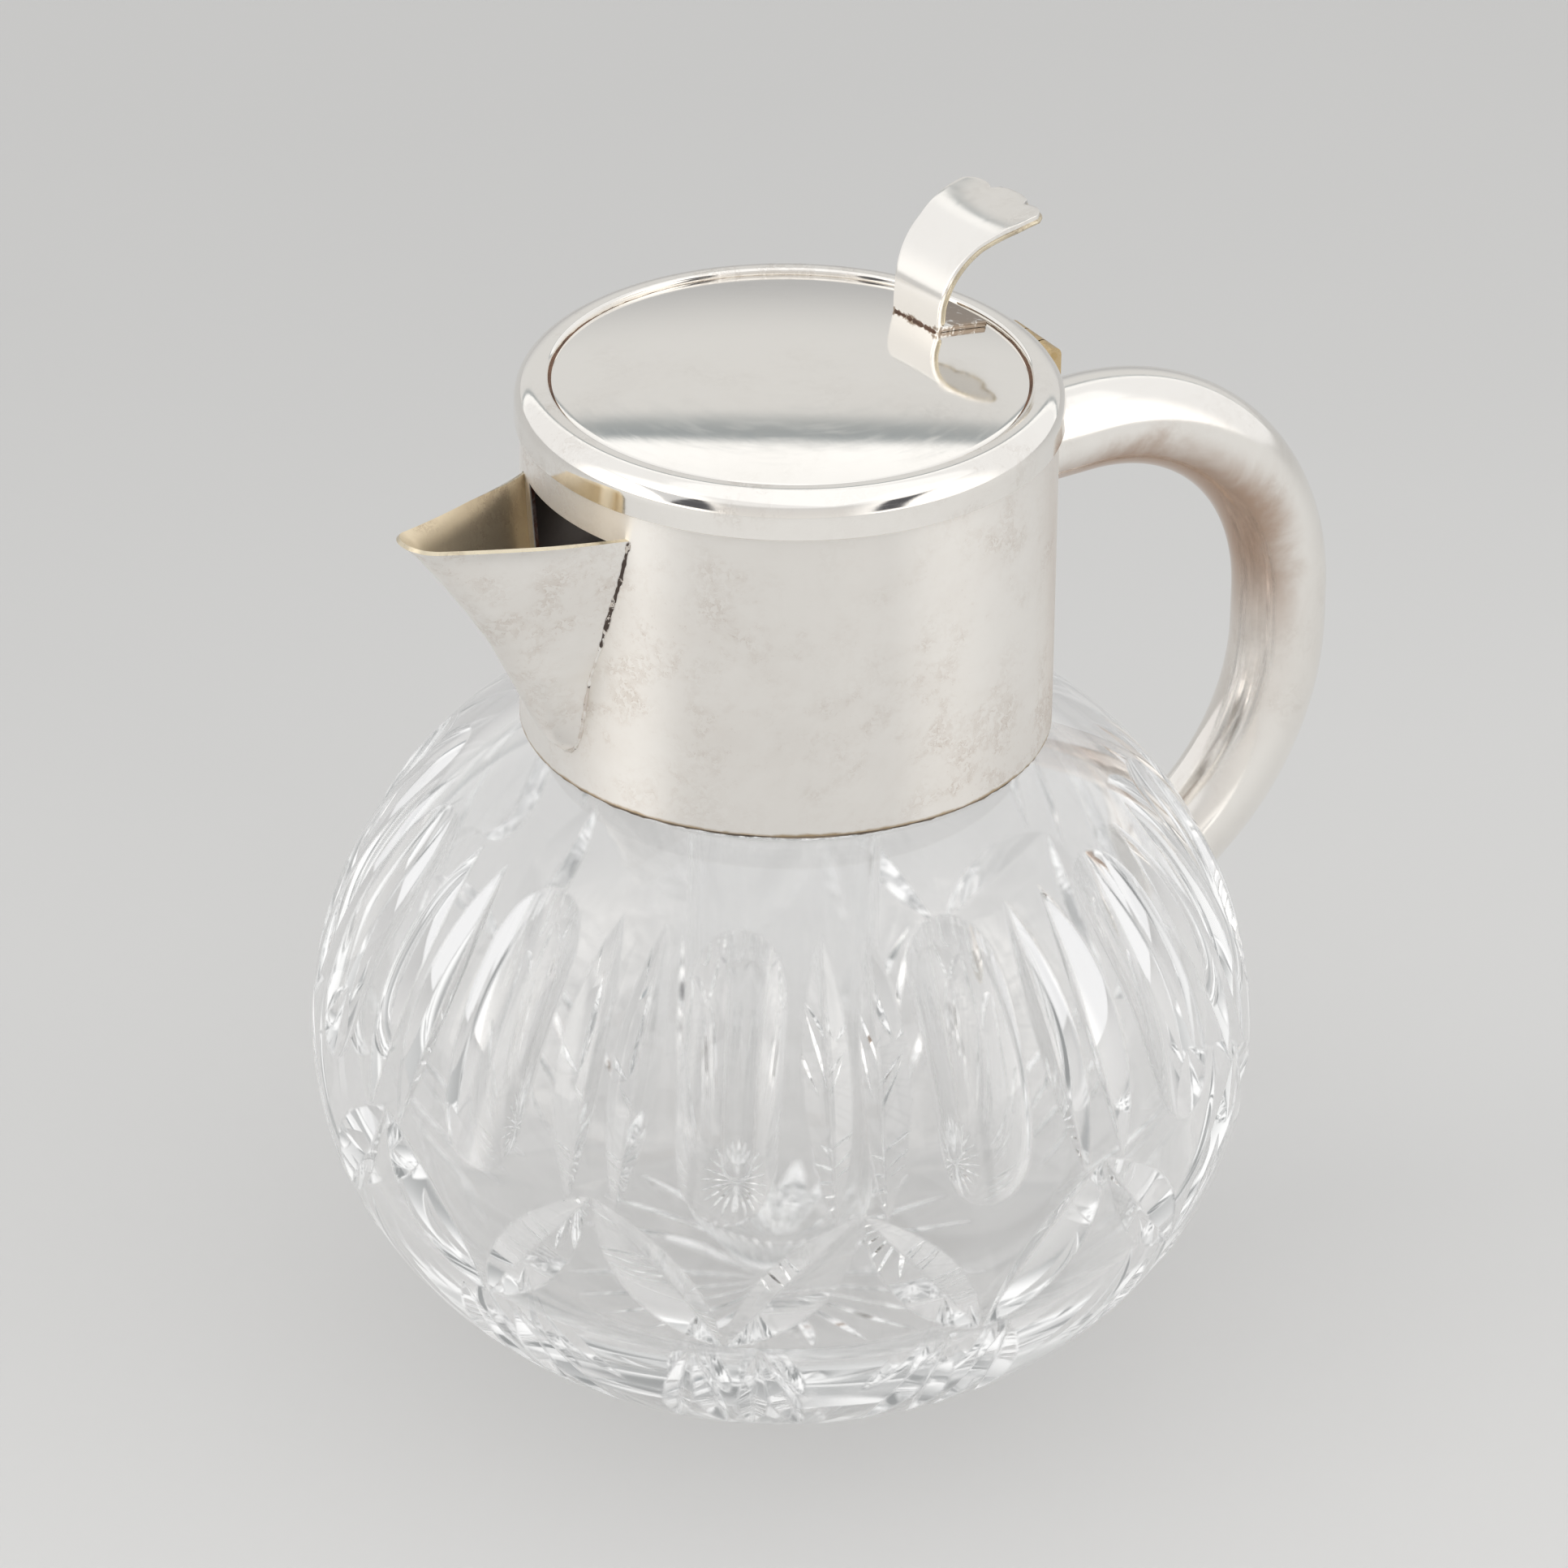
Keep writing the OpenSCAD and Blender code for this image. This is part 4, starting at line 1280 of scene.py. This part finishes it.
def studio_camera(distance=2.0, lens=242.05):
    """A long lens a little above the jug, with the spout at its left and the handle at its right."""
    azimuth, elevation, roll = math.radians(-33.0), math.radians(28.5), math.radians(0.8)
    level = math.cos(elevation)
    backward = Vector((math.sin(azimuth) * level, -math.cos(azimuth) * level, math.sin(elevation)))
    right = Vector((math.cos(azimuth), math.sin(azimuth), 0.0))
    upward = backward.cross(right)
    side = right * math.cos(roll) + upward * math.sin(roll)
    top = -right * math.sin(roll) + upward * math.cos(roll)
    target = right * -0.12 * MM + Vector((0, 0, 114.3 * MM))
    data = bpy.data.cameras.new("camera")
    data.sensor_width = 36.0
    data.lens = lens
    data.clip_start = 0.05
    camera = link(bpy.data.objects.new("camera", data))
    rotation = Matrix((side, top, backward)).transposed()
    camera.matrix_world = Matrix.Translation(target + backward * distance) @ rotation.to_4x4()
    bpy.context.scene.camera = camera


def studio(look):
    z, size = -0.2 * MM, 6.0
    corners = [(-size, -size, z), (size, -size, z), (size, size, z), (-size, size, z)]
    floor = mesh_object("studio_floor", corners, [(0, 1, 2, 3)])
    floor.data.materials.append(floor_material(tuple(look.floor)))
    studio_walls(look.world_strength)
    softbox("top_softbox", (0.1, -0.2, 1.7), (0, 0, 0.1), 1.9, 1.9, look.top_power)
    softbox("left_softbox", (-1.7, 0.1, 0.9), (0, 0, 0.12), 0.9, 1.2, look.side_power)
    studio_camera()
    view = bpy.context.scene.view_settings
    view.view_transform = "Standard"
    view.look = "None"
    view.exposure = look.exposure


# ---------------------------------------------------------------- settings


def size_setting(name, description, value, low, high):
    """A length property, with its value and limits in millimetres."""
    return FloatProperty(
        name=name, description=description, default=value * MM, min=low * MM, max=high * MM, unit="LENGTH"
    )


def colour_setting(name, description, value):
    return FloatVectorProperty(
        name=name, description=description, subtype="COLOR", size=3, default=value, min=0.0, max=1.0
    )


def power_setting(name, description, value):
    return FloatProperty(name=name, description=description, default=value, min=0.0, max=200.0, unit="POWER")


class JugSizes(bpy.types.PropertyGroup):
    """Sizes of the pieces that a maker would change"""

    wall: size_setting("Glass wall", "Glass wall at the belly", 8.5, 4, 12)
    neck_wall: size_setting("Neck wall", "Wall of the glass neck", 5.0, 3, 8)
    cement_t: size_setting("Cement", "Thickness of cement round the neck", 1.1, 0.5, 2)
    repeats: IntProperty(name="Repeats", description="Ovals round the globe", default=11, min=6, max=16)
    pattern_turn: FloatProperty(
        name="Pattern turn", description="Direction of the first oval", default=-129.5, min=-180, max=180
    )
    cut_top: size_setting("Top of cuts", "Height of the cuts' upper tips", 118.3, 90, 125)
    cut_belt: size_setting("Belt", "Height where the tall cuts end", 70.5, 50, 90)
    cut_valley: size_setting("Valley", "Height of the zigzag's lower points", 41.5, 30, 60)
    olive_depth: size_setting("Oval depth", "Depth of the ovals", 4.4, 1, 6)
    olive_nose: size_setting("Oval nose", "Radius of the wheel's round nose", 14.0, 10, 30)
    star_rays: IntProperty(name="Star rays", description="Rays of the base's star", default=22, min=8, max=32)
    insert_r: size_setting("Insert radius", "Outside radius of the ice insert", 18.2, 14, 22)
    insert_wall: size_setting("Insert wall", "Wall of the ice insert", 2.2, 1.5, 4)
    spout_widen: FloatProperty(
        name="Far side", description="Spout's far side over its near side", default=1.3, min=1.0, max=1.5
    )
    spout_wall: size_setting("Spout sheet", "Sheet thickness of the spout", 0.8, 0.8, 2)


class JugFinish(bpy.types.PropertyGroup):
    """Colours and gloss of the finishes"""

    silver: colour_setting("Silver", "Clean plate", (0.95, 0.925, 0.885))
    stain: colour_setting("Tarnish", "Darkest tarnish", (0.52, 0.44, 0.37))
    crystal_ior: FloatProperty(
        name="Crystal index", description="Refractive index of the crystal", default=1.545, min=1.3, max=1.8
    )


class JugStage(bpy.types.PropertyGroup):
    """Floor and light"""

    floor: colour_setting("Floor", "Floor colour", (0.77, 0.77, 0.765))
    world_strength: FloatProperty(
        name="World light", description="Strength of the studio's walls", default=0.8, min=0.0, max=5.0
    )
    top_power: power_setting("Top softbox", "Power of the softbox overhead", 2.0)
    side_power: power_setting("Side softbox", "Power of the softbox at the left", 2.0)
    exposure: FloatProperty(name="Exposure", description="Exposure of the view", default=0.0, min=-3, max=3)


def operator(idname, label, doc, work):
    """Makes one operator class that runs one builder."""

    def execute(self, context):
        work(context.scene.jug_sizes)
        return {"FINISHED"}

    body = {"bl_idname": "jug." + idname, "bl_label": label, "__doc__": doc, "execute": execute}
    return type("JUG_OT_" + idname, (bpy.types.Operator,), body)


class JUG_OT_stage(bpy.types.Operator):
    """Make the floor, the light and the camera"""

    bl_idname = "jug.stage"
    bl_label = "Studio"

    def execute(self, context):
        studio(context.scene.jug_stage)
        return {"FINISHED"}


PIECES = [
    operator("globe", "Crystal globe", "Cut the crystal globe", crystal_globe),
    operator("insert", "Ice insert", "Make the hanging ice insert", ice_insert),
    operator("collar", "Collar", "Finish the collar, its cement and the seat plate", collar),
    operator("spout", "Spout", "Fold the spout and solder it on", spout),
    operator("lid", "Lid", "Turn the lid's ring, disc and groove", lid),
    operator("thumb_piece", "Thumb piece", "Bend the thumb piece", thumb_piece),
    operator("handle", "Handle", "Bend the tapered handle", handle),
    operator("hinge", "Hinge", "Finish the hinge", hinge),
]


class JUG_PT_panel(bpy.types.Panel):
    """Sidebar panel that lists the jug's pieces"""

    bl_label = "Cut-glass jug"
    bl_space_type = "VIEW_3D"
    bl_region_type = "UI"
    bl_category = "Jug"

    def draw(self, context):
        for piece in PIECES + [JUG_OT_stage]:
            self.layout.operator(piece.bl_idname)


CLASSES = [JugSizes, JugFinish, JugStage, *PIECES, JUG_OT_stage, JUG_PT_panel]


def register():
    for item in CLASSES:
        bpy.utils.register_class(item)
    bpy.types.Scene.jug_sizes = PointerProperty(type=JugSizes)
    bpy.types.Scene.jug_finish = PointerProperty(type=JugFinish)
    bpy.types.Scene.jug_stage = PointerProperty(type=JugStage)


def unregister():
    del bpy.types.Scene.jug_stage
    del bpy.types.Scene.jug_finish
    del bpy.types.Scene.jug_sizes
    for item in reversed(CLASSES):
        bpy.utils.unregister_class(item)


def main():
    register()
    for piece in PIECES:
        getattr(bpy.ops.jug, piece.bl_idname.split(".")[1])()
    bpy.ops.jug.stage()


if __name__ == "__main__":
    main()
